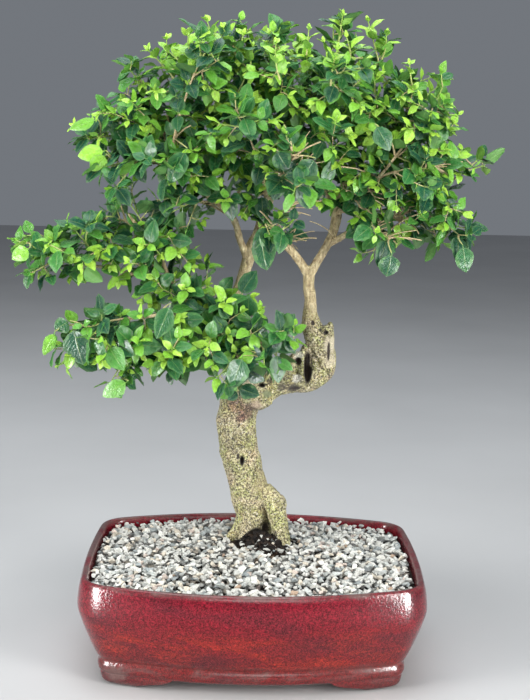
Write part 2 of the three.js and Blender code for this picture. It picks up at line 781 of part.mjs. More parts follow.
// Grafts a folded, arched leaf on a four-sided opening
function graftLeaf(skin, opening, leaf) {
  const [near, far] = bladeSections(leaf, bladeStations, 0);
  const first = skin.turned(opening, near);
  const middle = skin.ring(near);
  const last = skin.ring(far);
  skin.tube(first, middle);
  skin.index.push(...bladeFaces(middle, last));
  skin.tip(last, bladeTip(leaf, 0));
}

// The space that a leaf takes up, with a margin, from a share of its length to its tip
function leafSpace(leaf, margin, from) {
  const skin = new Skin();
  const start = from === 0 ? [0, 1.4 / leaf.width, 0.6] : [from, 0.75, bladeHalfThickness];
  const rings = bladeSections(leaf, [start, ...bladeStations], margin).map((points) => skin.ring(points));
  skin.quad([rings[0][3], rings[0][2], rings[0][1], rings[0][0]]);
  skin.index.push(...bladeFaces(rings[0], rings[1]), ...bladeFaces(rings[1], rings[2]));
  skin.tip(rings[2], bladeTip(leaf, margin));
  return solid(skin.geometry());
}

// The plan of one shoot: its twig, the nodes along it, and the side twigs that leave two of them
function shootPlan({ tip, hanging }, place, seed, variant) {
  const draw = draws(seed);
  const curve = twigCurve(place, tip, variant);
  const reach = curve.getLength();
  const startRadius = 1.3 + reach * 0.008;
  const twist = (draw() - 0.5) * Math.PI / 2;
  const first = curve.getTangentAt(0);
  const square = squareTo(first);
  const side = square.side.multiplyScalar(Math.cos(twist)).addScaledVector(square.up, Math.sin(twist));
  const start = nodeAt(curve.getPointAt(0), first, side, startRadius);
  const nodes = [start];
  const lengths = [reach - leafyLength, reach - leafyLength / 2, reach - nodeHalfLength];
  if (reach > longShoot) lengths.unshift(0.45 * (reach - leafyLength));
  for (const length of lengths) {
    const share = length / reach;
    const radius = THREE.MathUtils.lerp(startRadius, twigTipRadius, share);
    const previous = nodes[nodes.length - 1];
    nodes.push(nodeAt(curve.getPointAt(share), curve.getTangentAt(share), previous.side, radius));
  }
  nodes.forEach((node) => Object.assign(node, { leafFaces: [], twigs: [] }));
  nodes.slice(-3).forEach((node, i) => {
    node.leafFaces = [i % 2, i % 2 + 2];
    node.end = i === 2;
    node.hanging = hanging && node.end;
  });
  for (const node of nodes.slice(-3, -1)) {
    const face = (node.leafFaces[0] + (draw() < 0.5 ? 1 : 3)) % 4;
    const length = 19 + 9 * draw();
    const out = faceDirection(node, face).addScaledVector(node.heading, 0.75);
    out.z += 0.35 * draw();
    out.normalize();
    const end = nodeAt(node.point.clone().addScaledVector(out, length), out, node.heading, twigTipRadius);
    end.leafFaces = draw() < 0.5 ? [0, 2] : [1, 3];
    end.end = true;
    end.twigs = [];
    node.twigs.push({ face, end });
  }
  return nodes;
}

// One leaf on a face of a node, bent aside by its variant where its first place isn't free
function leafOn(node, face, zoneCentre, seed, variant) {
  const draw = draws(seed);
  const size = (node.end ? youngLeafLongest : leafLongest) - leafRange * draw();
  const spread = (node.end ? 40 : 62) + 14 * draw();
  const roll = (draw() - 0.5) * 0.9;
  const fold = 0.2 + 0.3 * draw();
  const arch = 0.06 + 0.2 * draw();
  const outward = faceDirection(node, face);
  const across = node.heading.clone().cross(outward);
  const angle = THREE.MathUtils.degToRad(spread);
  const heading = node.heading.clone().multiplyScalar(Math.cos(angle));
  heading.addScaledVector(outward, Math.sin(angle)).addScaledVector(across, leafShifts[variant]);
  let light = node.point.clone().sub(zoneCentre).normalize().multiplyScalar(0.5);
  light.z += 0.8;
  if (node.hanging) {
    heading.addScaledVector(new THREE.Vector3(0, -0.2, -1.6), 1);
    light = new THREE.Vector3(0.15, -0.9, 0.35);
  }
  heading.normalize();
  const flat = light.addScaledVector(heading, -light.dot(heading)).normalize();
  const length = node.hanging ? leafLongest - 2 : size;
  const width = length * leafProportion * (0.9 + 0.2 * draw());
  const base = node.point.clone().addScaledVector(outward, node.radius * Math.SQRT1_2);
  return { base, heading, face: flat.applyAxisAngle(heading, roll), length, width, fold, arch };
}

// Every place for a leaf on a shoot, in the order in which its leaves grow
function leafPlaces(nodes) {
  const bearing = nodes.slice(1).flatMap((node) => [node, ...node.twigs.map((twig) => twig.end)]);
  return bearing.flatMap((node) => node.leafFaces.map((face) => ({ node, face })));
}

// Closes the ring of skin at a node: leaves and side twigs grow from its open faces
function finishNode(skin, node, lower, upper, leaves) {
  const own = leaves.filter((leaf) => leaf.node === node);
  const open = [...own.map((leaf) => leaf.face), ...node.twigs.map((twig) => twig.face)];
  skin.tube(lower, upper, open);
  own.forEach(({ face, leaf }) => graftLeaf(skin, skin.face(lower, upper, face), leaf));
  for (const { face, end } of node.twigs) {
    const opening = skin.turned(skin.face(lower, upper, face), corners(end, -nodeHalfLength));
    const near = skin.ring(corners(end, -nodeHalfLength));
    const far = skin.ring(corners(end, nodeHalfLength));
    skin.tube(opening, near);
    finishNode(skin, end, near, far, leaves);
  }
  if (node.end) skin.tip(upper, node.point.clone().addScaledVector(node.heading, budLength));
}

// The skin of a shoot's wood and of the leaves that are given for its places
function shootSkin(nodes, leaves) {
  const skin = new Skin();
  let last = skin.ring(corners(nodes[0], 0));
  skin.quad([last[3], last[2], last[1], last[0]]);
  for (const node of nodes.slice(1)) {
    const bearing = node.leafFaces.length > 0;
    const lower = skin.ring(corners(node, bearing ? -nodeHalfLength : 0));
    skin.tube(last, lower);
    last = lower;
    if (bearing) {
      last = skin.ring(corners(node, nodeHalfLength));
      finishNode(skin, node, lower, last, leaves);
    }
  }
  return skin;
}

function boxesMeet(a, b) {
  return [0, 1, 2].every((axis) => a.min[axis] < b.max[axis] && b.min[axis] < a.max[axis]);
}

function crosses(body, others) {
  const box = body.boundingBox();
  return others.some((other) => boxesMeet(box, other.box) && !body.intersect(other.body).isEmpty());
}

function boxed(body) {
  return { body, box: body.boundingBox() };
}

// The wood of one shoot on its place, bent aside until it stays clear of the shoots before it
function growShoot(end, place, seed, clearWood, grown) {
  for (let variant = 0; variant < shootPushes.length; variant++) {
    const nodes = shootPlan(end, place, seed, variant);
    const skin = shootSkin(nodes, []);
    if (skin.cutsItself()) continue;
    const cut = solid(skin.geometry()).subtract(clearWood);
    const wood = largest(cut);
    const whole = wood.volume() > 0.98 * cut.volume();
    if (whole && !crosses(wood, grown.map((other) => other.wood))) {
      return { seed, nodes, wood: boxed(wood), spaces: [], leaves: [] };
    }
  }
  return null;
}

// The leaves of one shoot, each turned aside until it stays clear of all wood and other leaves
function growLeaves(branch, others, limbWood) {
  const wood = [limbWood, ...others.map((other) => other.wood)];
  const spaces = others.flatMap((other) => other.spaces);
  leafPlaces(branch.nodes).forEach(({ node, face }, placeIndex) => {
    const seed = branch.seed + leafSeed + leafSeedStep * placeIndex;
    for (let variant = 0; variant < leafShifts.length; variant++) {
      const leaf = leafOn(node, face, branch.centre, seed, variant);
      const clear = !crosses(leafSpace(leaf, fit, 0), [...wood, ...spaces])
        && !crosses(leafSpace(leaf, fit, leafStalkShare), [branch.wood, ...branch.spaces])
        && !shootSkin(branch.nodes, [...branch.leaves, { node, face, leaf }]).cutsItself();
      if (clear) {
        branch.spaces.push(boxed(leafSpace(leaf, 0, 0)));
        branch.leaves.push({ node, face, leaf });
        break;
      }
    }
  });
}

// All leafy branches of the tree, each one body of wood and leaves, clear of all the others
function leafyBranches() {
  const clearWood = joined(Object.values(limbs).map((one) => limb(one, fit)));
  const branches = [];
  zones.forEach((zone, zoneIndex) => {
    const places = attachPlaces(zone.limbs);
    shootEnds(zone).forEach((end, endIndex) => {
      const place = nearestPlace(places, end.tip);
      place.taken = true;
      const seed = 1 + zoneSeedStep * (zoneIndex + 1) + shootSeedStep * (endIndex + 1);
      const branch = growShoot(end, place, seed, clearWood, branches);
      if (branch) branches.push({ ...branch, name: zone.name, centre: new THREE.Vector3(...zone.centre) });
    });
  });
  for (const branch of branches) {
    growLeaves(branch, branches.filter((other) => other !== branch), boxed(clearWood));
  }
  return branches.map(({ name, nodes, leaves }) => (
    { name, body: largest(solid(shootSkin(nodes, leaves).geometry()).subtract(clearWood)) }));
}

const glaze = new THREE.MeshStandardMaterial({ color: 0x7d1a26, roughness: 0.12, metalness: 0 });
const plastic = new THREE.MeshStandardMaterial({ color: 0x1d1f1e, roughness: 0.6, metalness: 0 });
const earth = new THREE.MeshStandardMaterial({ color: 0x241a14, roughness: 0.95, metalness: 0 });
const stone = new THREE.MeshStandardMaterial({ color: 0xb7b3a8, roughness: 0.85, metalness: 0 });
const bark = new THREE.MeshStandardMaterial({ color: 0xa39a6c, roughness: 0.85, metalness: 0 });
const leafGreen = new THREE.MeshStandardMaterial({ color: 0x2f6d34, roughness: 0.35, metalness: 0 });

const bonsai = new THREE.Group();
bonsai.add(piece('pot', pot(), glaze));
bonsai.add(piece('drain_screen_left', drainScreen(-1), plastic));
bonsai.add(piece('drain_screen_right', drainScreen(1), plastic));
bonsai.add(piece('soil', soil(), earth));
bonsai.add(piece('gravel', gravel(), stone));
bonsai.add(piece('trunk', trunk(), bark));
leafyBranches().forEach(({ name, body }, i) => {
  bonsai.add(piece(`${name}_branch_${String(i + 1).padStart(2, '0')}`, body, leafGreen));
});

export default bonsai;
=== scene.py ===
import math
import random

import bmesh
import bpy
import numpy as np
from mathutils import Matrix, Vector, kdtree, noise
from mathutils.bvhtree import BVHTree


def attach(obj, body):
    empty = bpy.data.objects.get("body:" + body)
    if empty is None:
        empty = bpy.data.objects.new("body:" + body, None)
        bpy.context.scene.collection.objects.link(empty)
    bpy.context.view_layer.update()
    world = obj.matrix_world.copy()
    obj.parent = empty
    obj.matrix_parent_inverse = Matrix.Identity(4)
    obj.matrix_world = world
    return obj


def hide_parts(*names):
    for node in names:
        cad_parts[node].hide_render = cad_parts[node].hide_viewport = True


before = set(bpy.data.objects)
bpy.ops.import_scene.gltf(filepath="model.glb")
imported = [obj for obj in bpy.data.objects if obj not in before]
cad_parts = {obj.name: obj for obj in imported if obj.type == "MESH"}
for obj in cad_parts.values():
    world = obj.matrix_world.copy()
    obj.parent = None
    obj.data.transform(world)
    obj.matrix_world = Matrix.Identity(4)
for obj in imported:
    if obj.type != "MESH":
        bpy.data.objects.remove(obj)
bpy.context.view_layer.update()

# ---------------------------------------------------------------------------------------------
# Pot. One piece of fired stoneware with bowed walls, a rolled rim, a belt above four bracket
# feet and two drain holes. It was dipped in an oxblood glaze, which is speckled where it lies
# thick, runs brighter low on the walls and is thin and mauve-grey on every edge.
# ---------------------------------------------------------------------------------------------
MM = 0.001
POT_LENGTH = 305
POT_WIDTH = 240
CORNER_RADIUS = 33
TIGHTEST_CORNER = 12
LONG_SIDE_TURN = math.radians(17.5)
SHORT_SIDE_TURN = math.radians(4.2)
POT_WALL = [
    (34, 8.4), (28, 9), (23.6, 9.8), (21.0, 10.8), (19.2, 12.2), (18.1, 14.2), (17.6, 16.6),
    (17.6, 18.6), (18.0, 20.2), (18.8, 21.5), (19.2, 22.7), (18.7, 24.2), (16.8, 26.2), (14.4, 31), (11.7, 37),
    (9.1, 43.5), (6.5, 50), (4.3, 56), (2.5, 61.5), (1.1, 66), (0.5, 69.5), (0.4, 72.5),
    (0.6, 76), (1.0, 80), (1.5, 84), (2.2, 88), (3.0, 91.2), (4.0, 93.6), (5.0, 94.7), (6.1, 95), (7.4, 94.8),
    (8.4, 94.2), (9.3, 93.2), (9.9, 91.8), (10.3, 89.5), (10.6, 86), (12.4, 74), (14.6, 60), (16.5, 48),
    (20, 36), (23.6, 25), (26, 18),
]
FOOT_WALL = [
    (27, 0), (24.6, 0.4), (22.8, 1.5), (21.5, 3.2), (20.6, 5.2), (20.0, 7.4), (19.7, 9.4),
    (19.6, 11.2), (19.7, 12.8), (20.2, 14.4),
]
FOOT_THICKNESS = 11
FOOT_BRACKET = [
    (44, -0.5), (41, 0), (37.5, 1.2), (33.5, 2.8), (29, 4.2), (24, 5.3), (18, 6.3), (13, 7.4),
    (9, 9), (5.5, 11), (2.5, 13), (0, 14.5),
]
FRONT_GAP = 62
SIDE_GAP = 45
BARE_PATCH = (-0.118, -0.087, 0.0095)
DRAIN_RADIUS = 7.5
DRAIN_SPACING = 124
FLOOR_TOP = 18


def pot_outline(inset, z):
    """The pot's plan, set in from its rim: four rounded corners between bowed sides."""
    half_length = POT_LENGTH / 2 - inset
    half_width = POT_WIDTH / 2 - inset
    radius = max(CORNER_RADIUS - inset, TIGHTEST_CORNER)
    short_rise = math.tan(SHORT_SIDE_TURN) / 2
    long_rise = math.tan(LONG_SIDE_TURN) / 2
    corner_x = half_length - radius
    corner_y = half_width - radius
    for _ in range(12):
        short_end = corner_y + radius * math.sin(SHORT_SIDE_TURN)
        corner_x = half_length - radius * math.cos(SHORT_SIDE_TURN) - short_rise * short_end
        long_end = corner_x + radius * math.sin(LONG_SIDE_TURN)
        corner_y = half_width - radius * math.cos(LONG_SIDE_TURN) - long_rise * long_end
    short_end = corner_y + radius * math.sin(SHORT_SIDE_TURN)
    long_end = corner_x + radius * math.sin(LONG_SIDE_TURN)
    quarter = []
    for step in range(7):
        y = short_end * step / 7
        quarter.append((half_length - short_rise * y * y / short_end, y))
    for step in range(13):
        angle = SHORT_SIDE_TURN + (math.pi / 2 - LONG_SIDE_TURN - SHORT_SIDE_TURN) * step / 12
        quarter.append((corner_x + radius * math.cos(angle), corner_y + radius * math.sin(angle)))
    for step in range(9, -1, -1):
        x = long_end * step / 10
        quarter.append((x, half_width - long_rise * x * x / long_end))
    between = quarter[1:-1]
    outline = list(quarter)
    outline += [(-x, y) for x, y in reversed(between)]
    outline += [(-x, -y) for x, y in quarter]
    outline += [(x, -y) for x, y in reversed(between)]
    return [Vector((x, y, z)) for x, y in outline]


def lofted(rings):
    """Points and faces of a closed body through rings of equal count, flat at both ends."""
    count = len(rings[0])
    points = [point for ring in rings for point in ring]
    faces = []
    for start in range(0, len(points) - count, count):
        for side in range(count):
            following = (side + 1) % count
            faces.append((start + side, start + following,
                          start + count + following, start + count + side))
    faces.append(tuple(reversed(range(count))))
    faces.append(tuple(range(len(points) - count, len(points))))
    return points, faces


def new_piece(name, points, faces, smooth=True):
    """An object from points in millimetres, with its faces turned outwards."""
    mesh = bpy.data.meshes.new(name)
    mesh.from_pydata([tuple(coordinate * MM for coordinate in point) for point in points], [], faces)
    tidy = bmesh.new()
    tidy.from_mesh(mesh)
    bmesh.ops.recalc_face_normals(tidy, faces=tidy.faces)
    tidy.to_mesh(mesh)
    tidy.free()
    mesh.polygons.foreach_set("use_smooth", [smooth] * len(mesh.polygons))
    piece = bpy.data.objects.new(name, mesh)
    bpy.context.scene.collection.objects.link(piece)
    return piece


def settle(piece):
    """Works a piece's modifiers into its mesh."""
    graph = bpy.context.evaluated_depsgraph_get()
    mesh = bpy.data.meshes.new_from_object(piece.evaluated_get(graph))
    piece.modifiers.clear()
    piece.data = mesh
    return piece


def combine(piece, tool, operation):
    """Joins a tool body to a piece, or cuts it out of the piece."""
    boolean = piece.modifiers.new("combine", "BOOLEAN")
    boolean.operation = operation
    boolean.solver = "MANIFOLD"
    boolean.object = tool
    settle(piece)
    bpy.data.objects.remove(tool)


def bracket_gap(half_length, reach, lengthways):
    """The gap between two feet, with a long ogee bracket down to each of them."""
    arch = [(half_length + outwards, z) for outwards, z in FOOT_BRACKET]
    profile = arch + [(-x, z) for x, z in reversed(arch)] + [(-arch[0][0], -2), (arch[0][0], -2)]
    rings = []
    for end in (-reach, reach):
        rings.append([Vector((x, end, z)) if lengthways else Vector((end, x, z)) for x, z in profile])
    return new_piece("gap", *lofted(rings))


pot = new_piece("pot_glazed", *lofted([pot_outline(inset, z) for inset, z in POT_WALL]))
feet = new_piece("feet", *lofted([pot_outline(inset, z) for inset, z in FOOT_WALL]))
hollow = [pot_outline(FOOT_WALL[5][0] + FOOT_THICKNESS, z) for z in (-2, 9.8)]
combine(feet, new_piece("underside", *lofted(hollow)), "DIFFERENCE")
combine(feet, bracket_gap(FRONT_GAP, POT_WIDTH, True), "DIFFERENCE")
combine(feet, bracket_gap(SIDE_GAP, POT_LENGTH, False), "DIFFERENCE")
combine(pot, feet, "UNION")
for side in (-1, 1):
    rings = []
    for z in (0, 2 * FLOOR_TOP):
        turns = [math.tau * step / 32 for step in range(32)]
        rings.append([Vector((side * DRAIN_SPACING / 2 + DRAIN_RADIUS * math.cos(turn),
                              DRAIN_RADIUS * math.sin(turn), z)) for turn in turns])
    combine(pot, new_piece("drill", *lofted(rings)), "DIFFERENCE")
pot.data.shade_smooth()
pot.data.set_sharp_from_angle(angle=math.radians(38))


class Finish:
    """One finish of the plant or its pot, built up from texture nodes on a glossy or dull base."""

    def __init__(self, name, **sockets):
        self.material = bpy.data.materials.new(name)
        self.material.use_nodes = True
        self.tree = self.material.node_tree
        self.surface = self.tree.nodes["Principled BSDF"]
        self.place = self.tree.nodes.new("ShaderNodeTexCoord").outputs["Object"]
        for socket, value in sockets.items():
            self.surface.inputs[socket.replace("_", " ")].default_value = value

    def add(self, kind, out=0, settings=None, **inputs):
        """A node with its inputs set or linked, by name or as _ and number. Gives one output."""
        node = self.tree.nodes.new("ShaderNode" + kind)
        for name, value in (settings or {}).items():
            setattr(node, name, value)
        for name, value in inputs.items():
            socket = node.inputs[int(name[1:])] if name[0] == "_" else node.inputs[name]
            if isinstance(value, bpy.types.NodeSocket):
                self.tree.links.new(value, socket)
            else:
                socket.default_value = value
        return node.outputs[out]

    def grain(self, scale, detail=2.0, roughness=0.5, distortion=0.0, place=None):
        """Cloudy noise from 0 to 1, with a scale in blots per metre."""
        return self.add("TexNoise", "Fac", Vector=place or self.place, Scale=scale, Detail=detail,
                        Roughness=roughness, Distortion=distortion)

    def steps(self, factor, stops, out="Color"):
        """A ramp from (place, colour or grey) stops."""
        node = self.tree.nodes.new("ShaderNodeValToRGB")
        while len(node.color_ramp.elements) < len(stops):
            node.color_ramp.elements.new(0.5)
        for element, (place, colour) in zip(node.color_ramp.elements, stops):
            element.position = place
            element.color = (colour,) * 3 + (1,) if isinstance(colour, (int, float)) else (*colour, 1)
        self.tree.links.new(factor, node.inputs[0])
        return node.outputs[out]

    def blend(self, factor, first, second, kind="MIX"):
        """Two colours mixed by a factor."""
        colours = [(*value, 1) if isinstance(value, tuple) else value for value in (first, second)]
        return self.add("Mix", 2, {"data_type": "RGBA", "blend_type": kind},
                        _0=factor, _6=colours[0], _7=colours[1])

    def maths(self, kind, first, second=0.0, clamp=False):
        return self.add("Math", 0, {"operation": kind, "use_clamp": clamp}, _0=first, _1=second)

    def attribute(self, name, out="Fac"):
        return self.add("Attribute", out, {"attribute_name": name})

    def finish(self, piece=None, **links):
        """Links the surface's sockets, and dresses a piece with the material."""
        for socket, source in links.items():
            self.tree.links.new(source, self.surface.inputs[socket.replace("_", " ")])
        if piece is not None:
            piece.data.materials.clear()
            piece.data.materials.append(self.material)
        return self


glaze = Finish("oxblood_glaze", Roughness=0.4, Specular_IOR_Level=0.06, Coat_Weight=1.0,
               Coat_Roughness=0.045, Coat_IOR=1.37)
height = glaze.maths("MULTIPLY", glaze.add("SeparateXYZ", "Z", Vector=glaze.place), 10.5)
bands = glaze.grain(1.0, 4, 0.6, 0.8, glaze.add("Mapping", 0, Vector=glaze.place, Scale=(22, 22, 75)))
runs = glaze.grain(1.0, 3, 0.6, 0.3, glaze.add("Mapping", 0, Vector=glaze.place, Scale=(9, 9, 34)))
red = glaze.steps(height, [(0.0, (0.100, 0.005, 0.007)), (0.25, (0.150, 0.007, 0.007)),
                           (0.5, (0.175, 0.007, 0.009)), (0.75, (0.165, 0.005, 0.012)),
                           (1.0, (0.150, 0.006, 0.015))])
low = glaze.steps(height, [(0.22, 0.0), (0.34, 1.0), (0.55, 0.75), (0.72, 0.0)])
orange = glaze.maths("MULTIPLY", glaze.steps(bands, [(0.48, 0.0), (0.62, 1.0)]), low)
red = glaze.blend(glaze.maths("MULTIPLY", orange, 0.75), red, (0.30, 0.018, 0.007))
dusk = glaze.steps(runs, [(0.36, 1.0), (0.50, 0.0)])
red = glaze.blend(glaze.maths("MULTIPLY", dusk, 0.6), red, (0.060, 0.007, 0.013))
speckle = glaze.steps(glaze.grain(760, 4, 0.8), [(0.38, 0.25), (0.5, 0.85), (0.62, 1.45)])
red = glaze.blend(1.0, red, speckle, "MULTIPLY")
spots = glaze.steps(glaze.grain(400, 3, 0.7), [(0.40, 0.72), (0.5, 1.0), (0.62, 1.32)])
red = glaze.blend(1.0, red, spots, "MULTIPLY")
bright = glaze.steps(glaze.grain(1250, 2, 0.6), [(0.60, 0.0), (0.74, 1.0)])
red = glaze.blend(glaze.maths("MULTIPLY", bright, 0.45), red, (0.42, 0.050, 0.050))
edges = glaze.steps(height, [(0.0, 1.0), (0.04, 0.3), (0.10, 0.35), (0.135, 0.15), (0.19, 0.55),
                             (0.24, 0.55), (0.31, 0.0), (0.945, 0.0), (0.972, 0.5), (0.985, 1.0)])
worn = glaze.steps(glaze.grain(1.0, 5, 0.65, 0.8, glaze.add("Mapping", 0, Vector=glaze.place, Scale=(30, 30, 90))),
                   [(0.44, 0.0), (0.62, 1.0)])
thin = glaze.maths("MULTIPLY", edges, glaze.maths("ADD", worn, 0.25), True)
away = glaze.add("VectorMath", "Value", {"operation": "DISTANCE"}, _0=glaze.place, _1=BARE_PATCH)
bare = glaze.steps(glaze.maths("ADD", glaze.maths("MULTIPLY", away, 24), glaze.maths("MULTIPLY", worn, -0.25)),
                   [(0.10, 0.9), (0.27, 0.0)])
thin = glaze.maths("MAXIMUM", thin, bare)
mauve = glaze.blend(glaze.grain(300, 3, 0.7), (0.060, 0.018, 0.024), (0.17, 0.105, 0.090))
peel = glaze.add("Bump", 0, Strength=0.4, Distance=0.0006, Height=glaze.grain(520, 2, 0.5))
glaze.finish(pot, Base_Color=glaze.blend(thin, red, mauve), Normal=peel)
glaze.tree.links.new(peel, glaze.surface.inputs["Coat Normal"])
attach(pot, "root")
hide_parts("pot")

# ---------------------------------------------------------------------------------------------
# Drain screens. Two squares of black plastic mesh that lie over the drain holes under the soil,
# so that it stays in while water runs out. Their strands are woven over and under.
# ---------------------------------------------------------------------------------------------
SCREEN_SIZE = 26
STRAND_SPACING = 3.1
STRAND_RADIUS = 0.42


def tube(centres, radii, sides, points, faces):
    """Adds a closed tube along centres to lists of points and faces."""
    first = len(points)
    side = None
    for place, (centre, radius) in enumerate(zip(centres, radii)):
        before = centres[max(place - 1, 0)]
        after = centres[min(place + 1, len(centres) - 1)]
        heading = (after - before).normalized()
        if side is None:
            side = heading.orthogonal().normalized()
        side = (side - heading * side.dot(heading)).normalized()
        up = heading.cross(side)
        for step in range(sides):
            turn = math.tau * step / sides
            points.append(centre + (side * math.cos(turn) + up * math.sin(turn)) * radius)
    for ring in range(len(centres) - 1):
        start = first + ring * sides
        for step in range(sides):
            following = (step + 1) % sides
            faces.append((start + step, start + following,
                          start + sides + following, start + sides + step))
    faces.append(tuple(first + step for step in reversed(range(sides))))
    last = first + (len(centres) - 1) * sides
    faces.append(tuple(last + step for step in range(sides)))


plastic = Finish("screen_plastic", Roughness=0.55)
plastic_tone = plastic.steps(plastic.grain(700, 3), [(0.3, (0.010, 0.012, 0.011)), (0.7, (0.03, 0.032, 0.03))])
plastic.finish(Base_Color=plastic_tone,
               Normal=plastic.add("Bump", 0, Strength=0.3, Distance=0.0002, Height=plastic.grain(900)))
for side, name in ((-1, "left"), (1, "right")):
    points, faces = [], []
    count = int(SCREEN_SIZE / STRAND_SPACING)
    for strand in range(count + 1):
        across = (strand - count / 2) * STRAND_SPACING
        for lengthways in (True, False):
            centres = []
            for step in range(2 * count + 3):
                along = (step / (2 * count + 2) - 0.5) * SCREEN_SIZE
                wave = math.cos(math.pi * (along / STRAND_SPACING + strand + (0 if lengthways else 1)))
                x, y = (along, across) if lengthways else (across, along)
                centres.append(Vector((side * DRAIN_SPACING / 2 + x, y,
                                       FLOOR_TOP + 0.8 + 0.36 * wave)))
            tube(centres, [STRAND_RADIUS] * len(centres), 6, points, faces)
    screen = new_piece("drain_mesh_" + name, points, faces)
    screen.data.materials.append(plastic.material)
    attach(screen, "root")
    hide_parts("drain_screen_" + name)

# ---------------------------------------------------------------------------------------------
# Soil. Dark, damp potting mix of bark and fine grit that fills the pot, stands up a little
# round the roots and shows there as crumbs and chips between the root flares.
# ---------------------------------------------------------------------------------------------
INNER_WALL = [(26, 18), (16.5, 48), (10.6, 86)]
FIT = 0.35
SOIL_TOP = 86
COLLAR = {"x": 4, "y": 38, "radius_x": 43, "radius_y": 39, "top": 90.5}
HEAP = {"x": 8, "y": 23, "radius_x": 21, "radius_y": 15, "height": 14}
soil_draw = random.Random(11)


def soil_height(x, y):
    """Height of the soil's top: flat, with a crumbly swell round the roots."""
    away = math.hypot((x - COLLAR["x"]) / COLLAR["radius_x"], (y - COLLAR["y"]) / COLLAR["radius_y"])
    swell = (COLLAR["top"] - SOIL_TOP - 0.6) * max(0, min(1, (1.12 - away) / 0.24))
    swell += HEAP["height"] * math.exp(-((x - HEAP["x"] - 0.5 * (HEAP["y"] - y)) / HEAP["radius_x"]) ** 2
                                       - ((y - HEAP["y"]) / HEAP["radius_y"]) ** 2)
    crumbs = noise.noise(Vector((x, y, 0)) / 5) * 0.9 + noise.noise(Vector((x, y, 9)) / 1.9) * 0.8
    return SOIL_TOP - 0.5 + swell + crumbs * (0.4 + 0.6 * min(1, swell))


def chip(draw, centre, size, points, faces, flat=0.6, corners=12):
    """Adds one angular lump: the hull of points scattered on a squashed ball."""
    hull = bmesh.new()
    turn = draw.random() * math.tau
    lean = Vector((draw.gauss(0, 0.3), draw.gauss(0, 0.3), 1)).normalized()
    side = lean.orthogonal().normalized()
    side.rotate(lean.to_track_quat("Z", "Y") @ Vector((0, 0, 1)).rotation_difference(lean).inverted())
    long = (side * math.cos(turn) + lean.cross(side) * math.sin(turn)).normalized()
    wide = lean.cross(long)
    stretch = 1 + 0.5 * draw.random()
    for _ in range(corners):
        way = Vector((draw.gauss(0, 1), draw.gauss(0, 1), draw.gauss(0, 1))).normalized()
        way *= 0.88 + 0.12 * draw.random()
        hull.verts.new(centre + long * way.x * size * stretch / 2 + wide * way.y * size / 2
                       + lean * way.z * size * flat / 2)
    made = bmesh.ops.convex_hull(hull, input=hull.verts)
    loose = [item for item in made["geom_interior"] if isinstance(item, bmesh.types.BMVert)]
    bmesh.ops.delete(hull, geom=loose, context="VERTS")
    hull.verts.index_update()
    first = len(points)
    points.extend(vertex.co.copy() for vertex in hull.verts)
    faces.extend(tuple(first + vertex.index for vertex in face.verts) for face in hull.faces)
    hull.free()


def inset_at(z):
    """How far the inside of the pot's wall is set in at a height."""
    for (inset, low), (next_inset, high) in zip(INNER_WALL, INNER_WALL[1:]):
        if z <= high:
            return inset + (next_inset - inset) * (z - low) / (high - low) + FIT
    return INNER_WALL[-1][0] + FIT


rings = [pot_outline(inset_at(z), z) for z in (18.3, 30, 48, 67, 85)]
border = pot_outline(inset_at(SOIL_TOP), SOIL_TOP)
for step in range(38):
    share = 1 - step / 38
    ring = [Vector((point.x * share, point.y * share, 0)) for point in border]
    rings.append([Vector((point.x, point.y, soil_height(point.x, point.y))) for point in ring])
soil_points, soil_faces = lofted(rings)
for _ in range(900):
    x = soil_draw.gauss(9, 15)
    y = soil_draw.gauss(20, 15)
    size = 1.5 + 5.5 * soil_draw.random() ** 2.5
    chip(soil_draw, Vector((x, y, soil_height(x, y) + size * 0.16)), size, soil_points, soil_faces, 0.7)
soil = new_piece("potting_soil", soil_points, soil_faces, False)
earth = Finish("damp_soil", Roughness=0.8, Specular_IOR_Level=0.2)
earth_tone = earth.steps(earth.grain(260, 5, 0.7), [(0.36, (0.003, 0.002, 0.002)), (0.52, (0.010, 0.007, 0.005)),
                                                    (0.62, (0.040, 0.024, 0.015)), (0.72, (0.11, 0.075, 0.05))])
earth.finish(soil, Base_Color=earth_tone,
             Normal=earth.add("Bump", 0, Strength=0.7, Distance=0.0008, Height=earth.grain(1100, 4)))
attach(soil, "root")
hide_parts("soil")

# ---------------------------------------------------------------------------------------------
# Gravel. Crushed granite chips of 4 to 6 mm, light grey to cream with a few blue-grey and rusty
# ones, strewn over the soil up to the rim in a low mound and left open round the roots.
# ---------------------------------------------------------------------------------------------
CHIP_SPACING = 5.2
GRAVEL_EDGE = 3.4
GRAVEL_MOUND = 5
LARGE_CHIPS = [(-27, -46, 12), (-8, -42, 9), (72, -100, 9), (83, -97, 9), (-86, -60, 8), (50, 10, 8)]
CHIP_COLOURS = [
    ((0.56, 0.56, 0.52), 34), ((0.71, 0.71, 0.66), 26), ((0.42, 0.44, 0.42), 15), ((0.62, 0.56, 0.46), 12),
    ((0.55, 0.46, 0.40), 4), ((0.27, 0.30, 0.30), 6), ((0.12, 0.13, 0.13), 2), ((0.46, 0.33, 0.23), 1),
]
gravel_draw = random.Random(23)


def gravel_height(x, y):
    across = min(math.hypot(x / (POT_LENGTH / 2), y / (POT_WIDTH / 2)), 1)
    swell = 1.6 * noise.noise(Vector((x, y, 3)) / 26)
    return SOIL_TOP + GRAVEL_EDGE + GRAVEL_MOUND * (1 - across * across) + swell


def room_to_wall(x, y):
    """Distance from a place to the inside of the pot's wall, less than zero outside it."""
    nearest = 1e9
    for start, end in zip(border, border[1:] + border[:1]):
        run = end - start
        outwards = Vector((run.y, -run.x, 0)).normalized()
        nearest = min(nearest, (start - Vector((x, y, SOIL_TOP))).dot(outwards))
    return nearest


